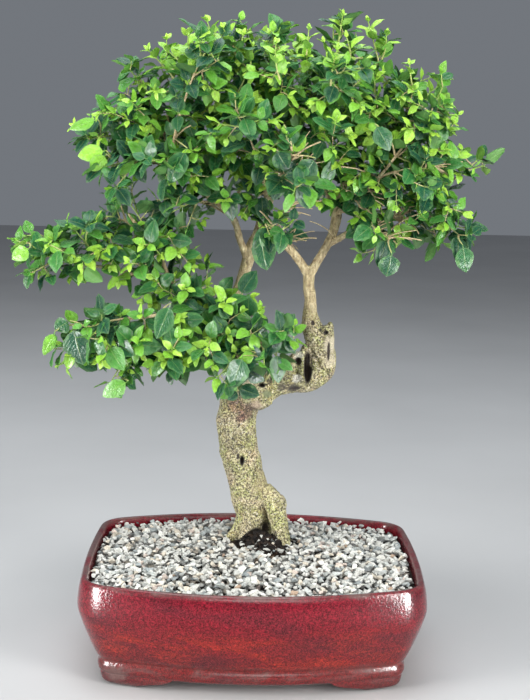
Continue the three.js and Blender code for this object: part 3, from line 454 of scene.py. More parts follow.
def open_round_roots(x, y):
    """Whether a place is in the patch of bare soil round and in front of the roots."""
    away = math.hypot((x - 5) / 34, (y - 40) / 24)
    front = math.hypot((x - 13 - 0.45 * (10 - y)) / 17, (y - 8) / 19)
    ragged = 0.45 * noise.noise(Vector((x, y, 5)) / 7)
    return min(away, front) + ragged < 1


stone_points, stone_faces, stone_tints_and_shade = [], [], []


def strew(x, y, z, size, painted_shade=1.0):
    """Lays one chip of stone and draws its colour, times a painted shade factor."""
    before = len(stone_points)
    chip(gravel_draw, Vector((x, y, z)), size, stone_points, stone_faces, 0.72, 10)
    tint = gravel_draw.choices(*zip(*CHIP_COLOURS))[0]
    shade = (0.80 + 0.34 * gravel_draw.random()) * painted_shade
    stone_tints_and_shade.extend([[tone * shade for tone in tint] + [1]] * (len(stone_points) - before))


# Two layers of chips. The lower one is painted at 0.42 of its colour as the shade in the gaps between the upper chips.
for layer, (sink, painted_shade) in enumerate(((-3.4, 0.42), (0.3, 1.0))):
    rows = int(POT_WIDTH / CHIP_SPACING / 0.866)
    for row in range(rows):
        for column in range(int(POT_LENGTH / CHIP_SPACING)):
            x = (column + 0.5 * (row % 2)) * CHIP_SPACING - POT_LENGTH / 2 + gravel_draw.gauss(0, 0.8)
            y = row * CHIP_SPACING * 0.866 - POT_WIDTH / 2 + gravel_draw.gauss(0, 0.8)
            size = 4.5 + 3.6 * gravel_draw.random() ** 1.5
            if room_to_wall(x, y) < size * 0.45 or open_round_roots(x, y):
                continue
            if any(math.hypot(x - a, y - b) < 0.42 * wide for a, b, wide in LARGE_CHIPS):
                continue
            if layer == 1 and gravel_draw.random() < 0.22:
                continue
            strew(x, y, gravel_height(x, y) + sink + gravel_draw.gauss(0, 0.9), size, painted_shade)
for x, y, size in LARGE_CHIPS:
    strew(x, y, gravel_height(x, y) + 0.6, size)
for _ in range(22):
    x = gravel_draw.gauss(10, 17)
    y = gravel_draw.gauss(2, 7)
    strew(x, y, soil_height(x, y) + 0.8, 3.8 + 3.0 * gravel_draw.random())
for _ in range(34):
    x = gravel_draw.gauss(12, 14)
    y = gravel_draw.gauss(9, 9)
    strew(x, y, soil_height(x, y) + 0.9, 3.0 + 3.2 * gravel_draw.random(), 0.9)
gravel = new_piece("gravel_chips", stone_points, stone_faces, False)
# The tint attribute holds each chip's colour with its painted shade.
tint = gravel.data.color_attributes.new("tint", "FLOAT_COLOR", "POINT")
tint.data.foreach_set("color", [tone for colour in stone_tints_and_shade for tone in colour])
granite = Finish("granite_chips", Roughness=0.72)
spots = granite.steps(granite.grain(900, 4, 0.7), [(0.32, 0.45), (0.5, 0.95), (0.7, 1.15)])
granite_tone_and_shade = granite.blend(0.8, granite.attribute("tint", "Color"), spots, "MULTIPLY")
granite.finish(gravel, Base_Color=granite_tone_and_shade,
               Normal=granite.add("Bump", 0, Strength=0.5, Distance=0.0004, Height=granite.grain(1400, 3)))
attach(gravel, "root")
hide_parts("gravel")

# ---------------------------------------------------------------------------------------------
# Trunk. Living privet wood that grew in one piece out of the soil: root flares, a warty trunk
# that bends over to the right, a leader and a fork. Old pruning wounds have healed into burls,
# ring knots and hollows of dark rotten wood painted near-black with shade, and one strip of bark beside the bend has
# died and bleached.
# ---------------------------------------------------------------------------------------------
TRUNK_LIMBS = {
    "lower_trunk": [(3, 50, 84, 18), (2, 50, 98, 16.6), (0.5, 50, 115, 15.2), (-2.5, 49, 128, 16.6), (-4, 48, 139, 17.4),
        (-10, 46, 161, 17.3), (-15, 45, 184, 17.4), (-18, 45, 204, 18.7), (-15, 45, 222, 17.8),
        (-9, 45, 236, 18.5), (0, 44, 243, 16)],
    "bend": [(-8, 44, 235, 15), (6, 42, 241, 16.6), (22, 40, 247, 15.2), (37, 40, 249, 13.6),
        (50, 42, 248, 12.8), (60, 42, 254, 10.6), (62, 42, 266, 10.4), (58, 42, 279, 11.7),
        (51, 42, 292, 10), (48, 42, 305, 7), (48, 42, 320, 5.6), (46, 42, 333, 5.1),
        (46, 42, 347, 5.4)],
    "fork_left": [(46, 42, 342, 4.6), (38, 40, 354, 3.8), (30, 37, 364, 3.7), (24, 36, 370, 4)],
    "fork_right": [(46, 42, 342, 4.8), (53, 44, 354, 4), (61, 46, 368, 3.9), (67, 48, 381, 4.1),
        (70, 50, 396, 5), (70, 50, 408, 4.4), (75, 52, 421, 3.6), (81, 55, 437, 2.8),
        (86, 58, 457, 2.3), (89, 60, 482, 1.8)],
    "leader": [(-9, 45, 232, 12), (-12, 46, 251, 8), (-19, 48, 269, 6), (-24, 50, 284, 5.5),
        (-29, 52, 300, 5.3), (-27, 54, 310, 5.1), (-21, 56, 319, 5.4), (-16, 58, 331, 5.5),
        (-10, 60, 351, 5.5), (-6, 60, 367, 5.6), (0, 60, 379, 4.6), (5, 60, 395, 3.7),
        (11, 58, 413, 3.2), (14, 56, 436, 2.7), (12, 55, 462, 2.3), (8, 54, 489, 1.8),
        (5, 54, 512, 1.4)],
    "flare_left": [(-6, 47, 112, 9), (-12, 45, 103, 8), (-19, 43, 95, 6), (-26, 42, 85, 4)],
    "flare_toe": [(1, 46, 122, 11), (-2, 40, 110, 9.5), (-6, 34, 99, 7), (-9, 30, 88, 5)],
    "flare_front": [(9, 43, 142, 7.4), (17.5, 39, 131, 8.8), (22, 34, 120, 8.6), (25, 28, 108, 7.4),
        (28.5, 21, 96, 5.8), (30.5, 18, 84, 4.5)],
    "flare_back": [(3, 52, 124, 8), (8, 58, 108, 8), (13, 65, 92, 5.5), (15, 67, 84, 5)],
}
BURLS = [
    ((2, 34, 231), (14, 11, 13)), ((25, 35, 259), (13, 12, 9)), ((67, 40, 281), (4, 7, 19)),
    ((11, 29.5, 236), (6, 4, 6)), ((23, 35, 129), (7.5, 7, 9)), ((62.5, 37, 292), (5, 5.5, 5)),
    ((37.5, 32, 265.5), (6, 5, 7)), ((-16, 32, 186), (8, 6, 10)), ((46.5, 42, 270), (6, 6, 10)),
]
HOLLOWS = [
    ((46.6, 28, 261), (3.5, 12, 15.5)), ((37.6, 26, 265.7), (2.5, 5.5, 3.2)), ((65.3, 30, 274.5), (1.0, 6, 8.5)),
    ((-15.3, 28, 175.5), (0.9, 6, 2.1)), ((-11.5, 28, 171.5), (1.7, 7, 4)), ((5.4, 27, 243), (2.8, 5, 1.5)),
    ((6.8, 30, 262), (1.8, 5, 1.7)), ((2, 32, 266), (1.3, 5, 1.5)), ((18.8, 27, 256.5), (1.8, 5, 2.4)),
    ((36, 24, 240), (6.5, 7, 2.0)), ((12, 26, 104), (4.2, 15, 10.5)), ((4, 26, 95), (11, 15, 11.5)), ((50.5, 31, 300), (1.6, 5, 2.2)),
    ((62.5, 31, 291.5), (1.8, 5, 1.6)), ((57.5, 31, 294), (1.2, 4, 1.8)),
]
RING_KNOT = ((37.6, 28.5, 265.2), 6.0, 2.4)
HEALED = [((-5, 30, 238), (12, 12, 17)), ((68, 36, 276), (6, 9, 20))]
GROUND = 90.8
BARK_VOXEL = 0.83


def wood_path(stations, spacing):
    """Even steps along the smooth curve through a limb's stations, as points and radii."""
    knots = [Vector(station[:3]) for station in stations]
    knots = [2 * knots[0] - knots[1]] + knots + [2 * knots[-1] - knots[-2]]
    centres, radii = [], []
    for place in range(len(stations) - 1):
        before, start, end, after = knots[place:place + 4]
        gaps = [(far - near).length ** 0.5 for near, far in ((before, start), (start, end), (end, after))]
        leave = (start - before) / gaps[0] - (end - before) / (gaps[0] + gaps[1]) + (end - start) / gaps[1]
        arrive = (end - start) / gaps[1] - (after - start) / (gaps[1] + gaps[2]) + (after - end) / gaps[2]
        leave *= gaps[1]
        arrive *= gaps[1]
        steps = max(2, round((end - start).length / spacing))
        for step in range(steps + (place == len(stations) - 2)):
            t = step / steps
            centres.append(start + leave * t + (3 * (end - start) - 2 * leave - arrive) * t * t
                           + (2 * (start - end) + leave + arrive) * t * t * t)
            radii.append(stations[place][3] * (1 - t) + stations[place + 1][3] * t)
    return centres, radii


def add_ball(centre, size, points, faces, rings=9, sides=14):
    """Adds a closed ellipsoid to lists of points and faces."""
    first = len(points)
    points.append(Vector(centre) - Vector((0, 0, size[2])))
    for ring in range(1, rings):
        lean = math.pi * ring / rings
        for step in range(sides):
            turn = math.tau * step / sides
            way = Vector((math.sin(lean) * math.cos(turn), math.sin(lean) * math.sin(turn), -math.cos(lean)))
            points.append(Vector(centre) + Vector(part * half for part, half in zip(way, size)))
    points.append(Vector(centre) + Vector((0, 0, size[2])))
    top = len(points) - 1
    for step in range(sides):
        following = (step + 1) % sides
        faces.append((first, first + 1 + following, first + 1 + step))
        for ring in range(rings - 2):
            low = first + 1 + ring * sides
            faces.append((low + step, low + following, low + sides + following, low + sides + step))
        faces.append((top, top - sides + step, top - sides + following))


def remesh(piece, voxel):
    """One even closed skin round all the bodies of a piece."""
    skin = piece.modifiers.new("skin", "REMESH")
    skin.mode = "VOXEL"
    skin.voxel_size = voxel * MM
    skin.use_smooth_shade = True
    return settle(piece)


wood_points, wood_faces = [], []
wood_samples = []
for stations in TRUNK_LIMBS.values():
    centres, radii = wood_path(stations, 3)
    tube(centres, radii, 18, wood_points, wood_faces)
    wood_samples += list(zip(centres, radii))
for centre, size in BURLS:
    add_ball(centre, size, wood_points, wood_faces)
ring_centre, ring_radius, ring_thickness = RING_KNOT
ring = [Vector(ring_centre) + Vector((math.cos(turn), -0.1 * math.sin(turn), math.sin(turn))) * ring_radius
        for turn in (math.tau * step / 16 for step in range(17))]
tube(ring, [ring_thickness] * 17, 10, wood_points, wood_faces)
for lip in ([(43, 29, 275), (41.5, 27, 260), (42, 28, 247)], [(52, 30, 269), (53, 29, 258), (50, 30, 246)]):
    tube([Vector(point) for point in lip], [2.6, 3.2, 2.6], 10, wood_points, wood_faces)
trunk = new_piece("trunk_bark", wood_points, wood_faces)
remesh(trunk, BARK_VOXEL)
hollow_points, hollow_faces = [], []
for centre, size in HOLLOWS:
    add_ball(centre, size, hollow_points, hollow_faces)
combine(trunk, new_piece("hollows", hollow_points, hollow_faces), "DIFFERENCE")
box_points = [(4 + a, 50 + b, z) for z in (40, GROUND - 6) for a, b in ((-99, -99), (99, -99), (99, 99), (-99, 99))]
combine(trunk, new_piece("ground", *lofted([box_points[:4], box_points[4:]])), "DIFFERENCE")
remesh(trunk, BARK_VOXEL)

radius_at = kdtree.KDTree(len(wood_samples))
for number, (centre, _) in enumerate(wood_samples):
    radius_at.insert(centre, number)
radius_at.balance()


def smooth_step(low, high, value):
    share = max(0, min(1, (value - low) / (high - low)))
    return share * share * (3 - 2 * share)


def bark_relief(point, thick):
    """Height of the bark in millimetres at a point, and how far up a wart it is from 0 to 1."""
    warts = noise.voronoi(point / 2.1 + noise.noise_vector(point / 3) * 0.35)[0]
    wart = max(0, 1 - (warts[0] / 0.62) ** 2)
    fine = noise.voronoi(point / 1.5)[0]
    bead = max(0, 1 - (fine[0] / 0.6) ** 2)
    swell = noise.noise(point / 19) * 1.5 + noise.noise(point / 8.5) * 1.1
    patch = 0.55 + 0.45 * noise.noise(point / 14 + Vector((9, 2, 5)))
    height = thick * (swell + patch * (0.75 * wart + 0.25 * bead)) + (1 - thick) * 0.28 * noise.noise(point / 4)
    return height, 0.7 * wart + 0.3 * bead


def bark_skin(piece):
    """Raises bark on a piece of wood and paints where it is high, hollow and thin."""
    mesh = piece.data
    count = len(mesh.vertices)
    places = np.empty(count * 3)
    mesh.vertices.foreach_get("co", places)
    places = places.reshape(-1, 3) / MM
    outwards = np.empty(count * 3)
    mesh.vertices.foreach_get("normal", outwards)
    outwards = outwards.reshape(-1, 3)
    relief = np.zeros((count, 1))
    paint = np.ones((count, 4))
    for number in range(count):
        point = Vector(places[number])
        _, sample, away = radius_at.find(point)
        thick = max(smooth_step(3.4, 10, wood_samples[sample][1]), 1 - smooth_step(130, 160, point.z))
        cavity = 0
        for centre, size in HOLLOWS:
            reach = math.sqrt(sum(((a - b) / (c + 0.5)) ** 2 for a, b, c in zip(point, centre, size)))
            cavity = max(cavity, 1 - smooth_step(0.9, 1.22, reach))
        height, crest = bark_relief(point, thick)
        for centre, size in HEALED:
            reach = math.sqrt(sum(((a - b) / c) ** 2 for a, b, c in zip(point, centre, size)))
            smooth = 1 - smooth_step(0.75, 1.05, reach)
            height *= 1 - 0.7 * smooth
            crest += (0.55 - crest) * 0.7 * smooth
        relief[number] = height * (1 - 0.8 * cavity)
        paint[number, :3] = crest, cavity, 1 - thick
    mesh.vertices.foreach_set("co", ((places + outwards * relief) * MM).ravel())
    bark = mesh.color_attributes.new("bark", "FLOAT_COLOR", "POINT")
    bark.data.foreach_set("color", paint.ravel())
    mesh.update()


bark_skin(trunk)

bark = Finish("privet_bark", Roughness=0.86)
marks = bark.add("SeparateColor", 0, Color=bark.attribute("bark", "Color")).node
crest, cavity, thinness = marks.outputs[0], marks.outputs[1], marks.outputs[2]
grain = bark.steps(bark.grain(560, 4, 0.72), [(0.38, 0.0), (0.60, 1.0)])
lift = bark.maths("ADD", bark.maths("MULTIPLY", crest, 0.34), bark.maths("MULTIPLY", grain, 0.68))
warty = bark.steps(lift, [(0.08, (0.030, 0.026, 0.016)), (0.28, (0.18, 0.145, 0.075)),
                          (0.52, (0.48, 0.41, 0.225)), (0.88, (0.90, 0.82, 0.56))])
olive = bark.steps(bark.grain(60, 4, 0.65, 0.5), [(0.40, 0.0), (0.60, 1.0)])
warty = bark.blend(bark.maths("MULTIPLY", olive, 0.75), warty,
                   bark.blend(1.0, warty, (0.74, 0.91, 0.44), "MULTIPLY"))
pink = bark.steps(bark.grain(110, 3, 0.6), [(0.52, 0.0), (0.7, 1.0)])
warty = bark.blend(bark.maths("MULTIPLY", pink, 0.65), warty,
                   bark.blend(1.0, warty, (1.05, 0.82, 0.80), "MULTIPLY"))
specks = bark.steps(bark.grain(430, 3, 0.65), [(0.56, 0.0), (0.62, 0.9)])
warty = bark.blend(specks, warty, (0.050, 0.036, 0.022))
dots = bark.steps(bark.grain(700, 2, 0.5), [(0.59, 0.0), (0.66, 0.8)])
warty = bark.blend(dots, warty, (0.92, 0.86, 0.68))
shade = bark.steps(bark.grain(38, 4, 0.6, 0.4), [(0.36, 0.58), (0.56, 1.0)])
warty = bark.blend(0.9, warty, shade, "MULTIPLY")
streaks = bark.grain(1.0, 4, 0.6, 0.0, bark.add("Mapping", 0, Vector=bark.place, Scale=(420, 420, 150)))
smooth_bark = bark.steps(streaks, [(0.32, (0.24, 0.165, 0.085)), (0.5, (0.53, 0.42, 0.23)),
                                   (0.66, (0.76, 0.66, 0.41))])
tone = bark.blend(thinness, warty, smooth_bark)
foot_shade = bark.steps(bark.maths("MULTIPLY", bark.add("SeparateXYZ", "Z", Vector=bark.place), 4),
                        [(0.36, 0.95), (0.72, 1.0)])
tone = bark.blend(1.0, tone, foot_shade, "MULTIPLY")


def stain_and_shade_patch(finish, tone, centre, radius, colour, strength, grit):
    """Lays a soft-edged patch of another colour over a tone, for stains and for painted shade."""
    away = finish.add("VectorMath", "Value", {"operation": "DISTANCE"}, _0=finish.place,
                      _1=tuple(part * MM for part in centre))
    ragged = finish.maths("ADD", away, finish.maths("MULTIPLY", finish.grain(260, 4, 0.7), radius * 0.8 * MM))
    mask = finish.steps(finish.maths("DIVIDE", ragged, radius * 1.4 * MM), [(0.68, strength), (0.96, 0.0)])
    grains = finish.steps(finish.grain(900, 3, 0.7), [(0.38, 1 - 0.75 * grit), (0.5, 1), (0.62, 1 + 1.6 * grit)])
    return finish.blend(mask, tone, finish.blend(1.0, colour, grains, "MULTIPLY"))


REDDISH = [((-18, 28, 224), 10), ((-7, 27, 217), 11), ((-14, 28, 212), 6)]
# Patches on the bark: cream and grey dead bark, a green knob, charred wood at (34, 26, 240) and other dark patches. The
# near-black ones in the slot at (6, 29, 243) and under the trunk's foot by the soil at (14, 24, 93) are painted shade.
STAINS_AND_SHADE = [
    ((-9, 29, 249), 8, (0.56, 0.48, 0.34), 0.8, 0.2), ((-5, 27, 238), 8, (0.54, 0.44, 0.32), 0.85, 0.2),
    ((1, 27, 226), 6.5, (0.48, 0.37, 0.27), 0.8, 0.3), ((10, 29, 260), 9, (0.46, 0.45, 0.38), 0.75, 0.7),
    ((20, 28, 254), 8, (0.44, 0.43, 0.36), 0.7, 0.8), ((10.1, 26, 235), 5, (0.17, 0.21, 0.11), 0.85, 0.3),
    ((68, 34, 280), 10, (0.56, 0.50, 0.37), 0.8, 0.3), ((67, 34, 265), 8, (0.50, 0.44, 0.32), 0.7, 0.5),
    ((37, 25, 250), 5.5, (0.48, 0.47, 0.41), 0.85, 0.6), ((38, 25, 272), 5.5, (0.46, 0.45, 0.38), 0.8, 0.6),
    ((34, 26, 240), 7, (0.040, 0.035, 0.027), 0.85, 1.0), ((23, 27, 242), 6, (0.06, 0.05, 0.035), 0.75, 1.0),
    ((13, 28, 247), 5, (0.05, 0.042, 0.03), 0.75, 1.0), ((23, 29, 262), 4.5, (0.05, 0.04, 0.03), 0.6, 1.0),
    ((6, 29, 243), 4, (0.04, 0.032, 0.022), 0.8, 0.6), ((14, 24, 93), 13, (0.014, 0.011, 0.008), 0.95, 0.3),
]
for centre, radius in REDDISH:
    rusty = bark.blend(1.0, tone, (0.42, 0.31, 0.32), "MULTIPLY")
    tone = stain_and_shade_patch(bark, tone, centre, radius, rusty, 0.95, 0.8)
for centre, radius, colour, strength, grit in STAINS_AND_SHADE:
    tone = stain_and_shade_patch(bark, tone, centre, radius, colour, strength, grit)
# Inside each hollow and just round its edge the bark turns to dark rotten wood, painted near-black as the shade in the
# hollow.
rot_and_painted_shade = bark.steps(bark.grain(500, 4, 0.7), [(0.35, (0.004, 0.003, 0.002)), (0.7, (0.045, 0.026, 0.014))])
tone = bark.blend(cavity, tone, rot_and_painted_shade)
knobs = bark.maths("ADD", bark.maths("MULTIPLY", bark.grain(330, 3, 0.6), 1.3), bark.grain(760, 3, 0.65))
knobs = bark.maths("ADD", knobs, bark.maths("MULTIPLY", streaks, 0.4))
bark.finish(trunk, Base_Color=tone, Normal=bark.add("Bump", 0, Strength=0.95, Distance=0.0018, Height=knobs))
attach(trunk, "root")
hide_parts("trunk")

# ---------------------------------------------------------------------------------------------
# Limbs. The thinner wood that branches off the leader and the fork, down to pencil size and
# less. Its bark is still smooth, tan and finely streaked, with a ring wherever a pair of
# buds once stood. It was pruned back many times, so that it changes direction at every knot.
# ---------------------------------------------------------------------------------------------
THIN_LIMBS = {
    "fork_upright": [(70, 50, 404, 2.9), (59, 46, 419, 2.5), (54, 45, 432, 2.4),
        (51, 44, 449, 2.2), (46, 44, 472, 1.8), (43, 44, 498, 1.4)],
    "upper_left": [(-10, 60, 352, 4), (-17, 56, 372, 3.5), (-25, 52, 393, 3.3),
        (-31, 50, 400, 3.4), (-42, 46, 408, 3.1), (-50, 42, 414, 2.9), (-61, 38, 426, 2.7),
        (-69, 34, 436, 2.6), (-78, 32, 452, 2.1), (-88, 30, 472, 1.6)],
    "upper_left_spur": [(-28, 51, 397, 2.4), (-21, 58, 411, 1.9), (-14, 64, 424, 1.6),
        (-9, 70, 440, 1.4)],
    "crown_back": [(-4, 60, 371, 3.2), (0, 76, 388, 2.6), (8, 92, 412, 2.1), (14, 100, 440, 1.5)],
    "crown_front": [(4, 60, 392, 3), (6, 40, 404, 2.5), (4, 16, 422, 2), (-2, -8, 444, 1.4)],
    "right_front": [(70, 50, 397, 3.2), (80, 30, 410, 2.6), (94, 8, 424, 2), (106, -12, 440, 1.4)],
    "right_back": [(71, 50, 410, 3), (86, 68, 424, 2.5), (104, 84, 440, 2), (118, 94, 456, 1.4)],
    "right_low": [(62, 46, 370, 3.4), (84, 43, 383, 2.9), (112, 40, 394, 2.4), (138, 38, 404, 1.9),
        (158, 36, 416, 1.4)],
    "left_front": [(-44, 45, 409, 2.7), (-54, 26, 422, 2.3), (-66, 6, 436, 1.9),
        (-76, -10, 452, 1.4)],
    "left_back": [(-32, 50, 401, 2.8), (-46, 70, 418, 2.3), (-60, 86, 438, 1.9),
        (-70, 94, 456, 1.4)],
    "pad_limb": [(-28, 52, 300, 3.8), (-45, 46, 308, 3.1), (-61, 38, 320, 2.8),
        (-74, 32, 332, 2.7), (-83, 28, 346, 2.5), (-88, 26, 359, 2.2), (-94, 24, 370, 2.1),
        (-105, 22, 382, 1.7), (-116, 20, 396, 1.3)],
    "pad_outer": [(-78, 31, 337, 2.5), (-102, 26, 340, 2.2), (-128, 22, 346, 1.8),
        (-154, 20, 350, 1.3)],
    "pad_back": [(-61, 38, 320, 2.5), (-78, 58, 328, 2.1), (-98, 76, 340, 1.7),
        (-116, 86, 350, 1.3)],
    "pad_front": [(-46, 46, 309, 2.7), (-58, 22, 312, 2.3), (-76, -2, 312, 1.9),
        (-98, -20, 310, 1.4)],
    "pad_low": [(-24, 50, 283, 3), (-42, 42, 283, 2.6), (-62, 32, 290, 2.2), (-86, 22, 294, 1.8),
        (-112, 14, 290, 1.3)],
    "low_front": [(-23, 50, 285, 2.6), (-14, 26, 286, 2.2), (-2, 4, 286, 1.8), (6, -10, 288, 1.3)],
}
KNOT_SPACING = 13


def knotty(centres, radii, draw):
    """Bends a thin limb a little between its knots and thickens it at each of them."""
    run = 0
    bent, thick = [], []
    for place, (centre, radius) in enumerate(zip(centres, radii)):
        run += (centre - centres[max(place - 1, 0)]).length
        beat = math.cos(math.tau * run / KNOT_SPACING)
        sway = noise.noise_vector(centre / 14) * min(radius, 2.5) * 0.5 * min(1, run / 12)
        bent.append(centre + sway)
        thick.append((radius * 0.92 - 0.15) * (1 + 0.16 * max(0, beat) ** 6) + 0.1 * draw.random())
    return bent, thick


limb_draw = random.Random(5)
limb_points, limb_faces = [], []
wood_starts = []
for name, stations in THIN_LIMBS.items():
    centres, radii = knotty(*wood_path(stations, 1.6), limb_draw)
    tube(centres, radii, 12, limb_points, limb_faces)
    wood_starts += [(centre, radius) for centre, radius in zip(centres[6:], radii[6:])]
limbs = new_piece("limb_bark", limb_points, limb_faces)
paint = np.ones((len(limb_points), 4))
paint[:, 0] = 0.5
paint[:, 1] = 0.0
tint = limbs.data.color_attributes.new("bark", "FLOAT_COLOR", "POINT")
tint.data.foreach_set("color", paint.ravel())
bark.finish(limbs)
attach(limbs, "root")
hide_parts("trunk")

# ---------------------------------------------------------------------------------------------
# Leafy branches. Each is one season's shoot with its leaves in crosswise pairs: thin tan wood
# that turns green towards the tip, and glossy pointed blades that fold along a pale midrib.
# ---------------------------------------------------------------------------------------------
LEAF_RINGS = [(0.19, 0.56), (0.33, 0.91), (0.50, 1.0), (0.70, 0.81), (0.88, 0.42)]
BLADE_START = 0.11
BLADE_HALF_THICKNESS = 0.17
STALK_RADIUS = 0.42
SIGHTS = ((0.3, 0.96), (0.67, 0.80))


def leaf_form():
    """A leaf's points as share along, place across and side of the blade, and its faces."""
    form = [(BLADE_START, 0, 0), (1, 0, 0)]
    faces = []
    rings = []
    for share, _ in LEAF_RINGS:
        first = len(form)
        form += [(share, -1, 0), (share, -0.5, 1), (share, 0, 1), (share, 0.5, 1), (share, 1, 0),
                 (share, 0.5, -1), (share, 0, -1), (share, -0.5, -1)]
        rings.append([first + step for step in range(8)])
    for low, high in zip(rings, rings[1:]):
        for step in range(8):
            following = (step + 1) % 8
            faces.append((low[step], low[following], high[following], high[step]))
    for step in range(8):
        following = (step + 1) % 8
        faces.append((0, rings[0][following], rings[0][step]))
        faces.append((1, rings[-1][step], rings[-1][following]))
    first = len(form)
    for share in (0, BLADE_START + 0.05):
        form += [(share, 0, turn) for turn in (10, 11, 12)]
    for step in range(3):
        following = (step + 1) % 3
        faces.append((first + step, first + following, first + 3 + following, first + 3 + step))
    faces += [(first + 2, first + 1, first), (first + 3, first + 4, first + 5)]
    return np.array(form, float), faces


LEAF_FORM, LEAF_FACES = leaf_form()
BREADTHS = np.interp(LEAF_FORM[:, 0], [BLADE_START] + [share for share, _ in LEAF_RINGS] + [1],
                     [0] + [breadth for _, breadth in LEAF_RINGS] + [0])
STALK = LEAF_FORM[:, 2] >= 10
STALK_TURNS = np.where(STALK, (LEAF_FORM[:, 2] - 10) * math.tau / 3, 0)


class Spray:
    """Leaves and twigs gathered for one mesh, with the leaves' own map and tint."""

    def __init__(self, seed):
        self.draw = random.Random(seed)
        self.points, self.faces, self.maps, self.tints, self.kinds = [], [], [], [], []
        self.count = 0

    def leaf(self, base, heading, face, length, half_width, fold, arch, age):
        """Adds one blade on its stalk. Age runs from 0 for a new leaf to 1 for an old one."""
        base, heading, face = (np.array(vector, float) for vector in (base, heading, face))
        side = np.cross(face, heading)
        share, across = LEAF_FORM[:, 0:1], LEAF_FORM[:, 1:2]
        wave = 1 + 0.07 * np.sin(9 * share + 7 * self.draw.random() + 2 * across)
        half = half_width * BREADTHS[:, None] * wave
        ripple = 0.12 * half_width * np.sin(10 * share + self.draw.random() * 6 + across) * across ** 2
        thickness = np.where(STALK[:, None], 0, LEAF_FORM[:, 2:3]) * BLADE_HALF_THICKNESS
        edge_down = -0.16 * half_width * np.abs(across) ** 3 * BREADTHS[:, None]
        points = base + heading * length * share - face * (arch * length * share ** 2)
        points = points + side * half * across
        points = points + face * (half * fold * np.abs(across) + ripple + thickness + edge_down)
        stalk = np.cos(STALK_TURNS)[:, None] * side + np.sin(STALK_TURNS)[:, None] * face
        points = points + np.where(STALK[:, None], stalk * STALK_RADIUS, 0)
        tint = np.ones((len(points), 4))
        tint[:, 0] = age
        tint[:, 1] = self.draw.random()
        tint[:, 2] = np.where(STALK, 0.2, 0.5 - 0.5 * LEAF_FORM[:, 2])
        self.add(points, LEAF_FACES, np.stack([0.5 + 0.5 * LEAF_FORM[:, 1], LEAF_FORM[:, 0]], 1), tint, 0)

    def twig(self, centres, radii, woody, sides=6):
        """Adds a thin stem. Woody runs from 0 where it is green to 1 where it is bark."""
        points, faces = [], []
        tube(centres, radii, sides, points, faces)
        tint = np.ones((len(points), 4))
        tint[:, 0] = np.repeat(woody, sides)
        tint[:, 1] = self.draw.random()
        tint[:, 2] = 0
        self.add(np.array(points), faces, np.zeros((len(points), 2)), tint, 1)

    def add(self, points, faces, places, tint, kind):
        self.points.append(points)
        self.maps.append(places)
        self.tints.append(tint)
        self.faces += [tuple(corner + self.count for corner in face) for face in faces]
        self.kinds += [kind] * len(faces)
        self.count += len(points)

    def piece(self, name):
        """The finished mesh as an object."""
        points = np.concatenate(self.points)
        mesh = bpy.data.meshes.new(name)
        mesh.from_pydata((points * MM).tolist(), [], self.faces)
        corners = np.empty(len(mesh.loops), int)
        mesh.loops.foreach_get("vertex_index", corners)
        mesh.uv_layers.new(name="blade").data.foreach_set("uv", np.concatenate(self.maps)[corners].ravel())
        tint = mesh.color_attributes.new("leaf", "FLOAT_COLOR", "POINT")
        tint.data.foreach_set("color", np.concatenate(self.tints).ravel())
        mesh.polygons.foreach_set("material_index", self.kinds)
        mesh.materials.append(leaf_green.material)
        mesh.materials.append(young_bark.material)
        mesh.shade_smooth()
        mesh.set_sharp_from_angle(angle=math.radians(75))
        piece = bpy.data.objects.new(name, mesh)
        bpy.context.scene.collection.objects.link(piece)
        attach(piece, "root")
        return piece


leaf_green = Finish("privet_leaf", Roughness=0.25, Specular_IOR_Level=0.33)
split = leaf_green.add("SeparateColor", 0, Color=leaf_green.attribute("leaf", "Color")).node
age, chance, under = split.outputs[0], split.outputs[1], split.outputs[2]
blade = leaf_green.add("SeparateXYZ", 0, Vector=leaf_green.add("UVMap", 0, {"uv_map": "blade"})).node
aside = leaf_green.maths("ABSOLUTE", leaf_green.maths("SUBTRACT", blade.outputs[0], 0.5))
along = blade.outputs[1]
green = leaf_green.steps(age, [(0.0, (0.35, 0.63, 0.075)), (0.22, (0.22, 0.52, 0.050)),
                               (0.46, (0.085, 0.300, 0.034)), (0.72, (0.022, 0.135, 0.038)),
                               (1.0, (0.008, 0.064, 0.038))])
green = leaf_green.blend(leaf_green.maths("MULTIPLY", chance, 0.3), green,
                         leaf_green.blend(1.0, green, (1.3, 1.05, 0.6), "MULTIPLY"))
mottle = leaf_green.steps(leaf_green.grain(420, 4, 0.6), [(0.3, 0.72), (0.7, 1.18)])
green = leaf_green.blend(1.0, green, mottle, "MULTIPLY")
slant = leaf_green.maths("SUBTRACT", leaf_green.maths("MULTIPLY", along, 9), leaf_green.maths("MULTIPLY", aside, 7))
vein = leaf_green.maths("ABSOLUTE", leaf_green.maths("SUBTRACT", leaf_green.maths("FRACT", slant), 0.5))
vein = leaf_green.steps(vein, [(0.0, 1.0), (0.10, 0.0)])
midrib = leaf_green.steps(aside, [(0.010, 1.0), (0.034, 0.0)])
pale = leaf_green.maths("MAXIMUM", leaf_green.maths("MULTIPLY", vein, 0.22), leaf_green.maths("MULTIPLY", midrib, 0.42))
green = leaf_green.blend(pale, green, leaf_green.blend(0.55, green, (0.42, 0.55, 0.16)))
green = leaf_green.blend(leaf_green.maths("MULTIPLY", under, 0.5), green, (0.16, 0.34, 0.085))
shine = leaf_green.steps(leaf_green.grain(300, 3), [(0.3, 0.19), (0.7, 0.32)])
shine = leaf_green.maths("ADD", shine, leaf_green.maths("MULTIPLY", under, 0.3))
sunk = leaf_green.maths("SUBTRACT", leaf_green.maths("MULTIPLY", leaf_green.grain(210, 3, 0.6), 2.2), pale)
leaf_green.finish(Base_Color=green, Roughness=shine,
                  Normal=leaf_green.add("Bump", 0, Strength=0.6, Distance=0.0006, Height=sunk))

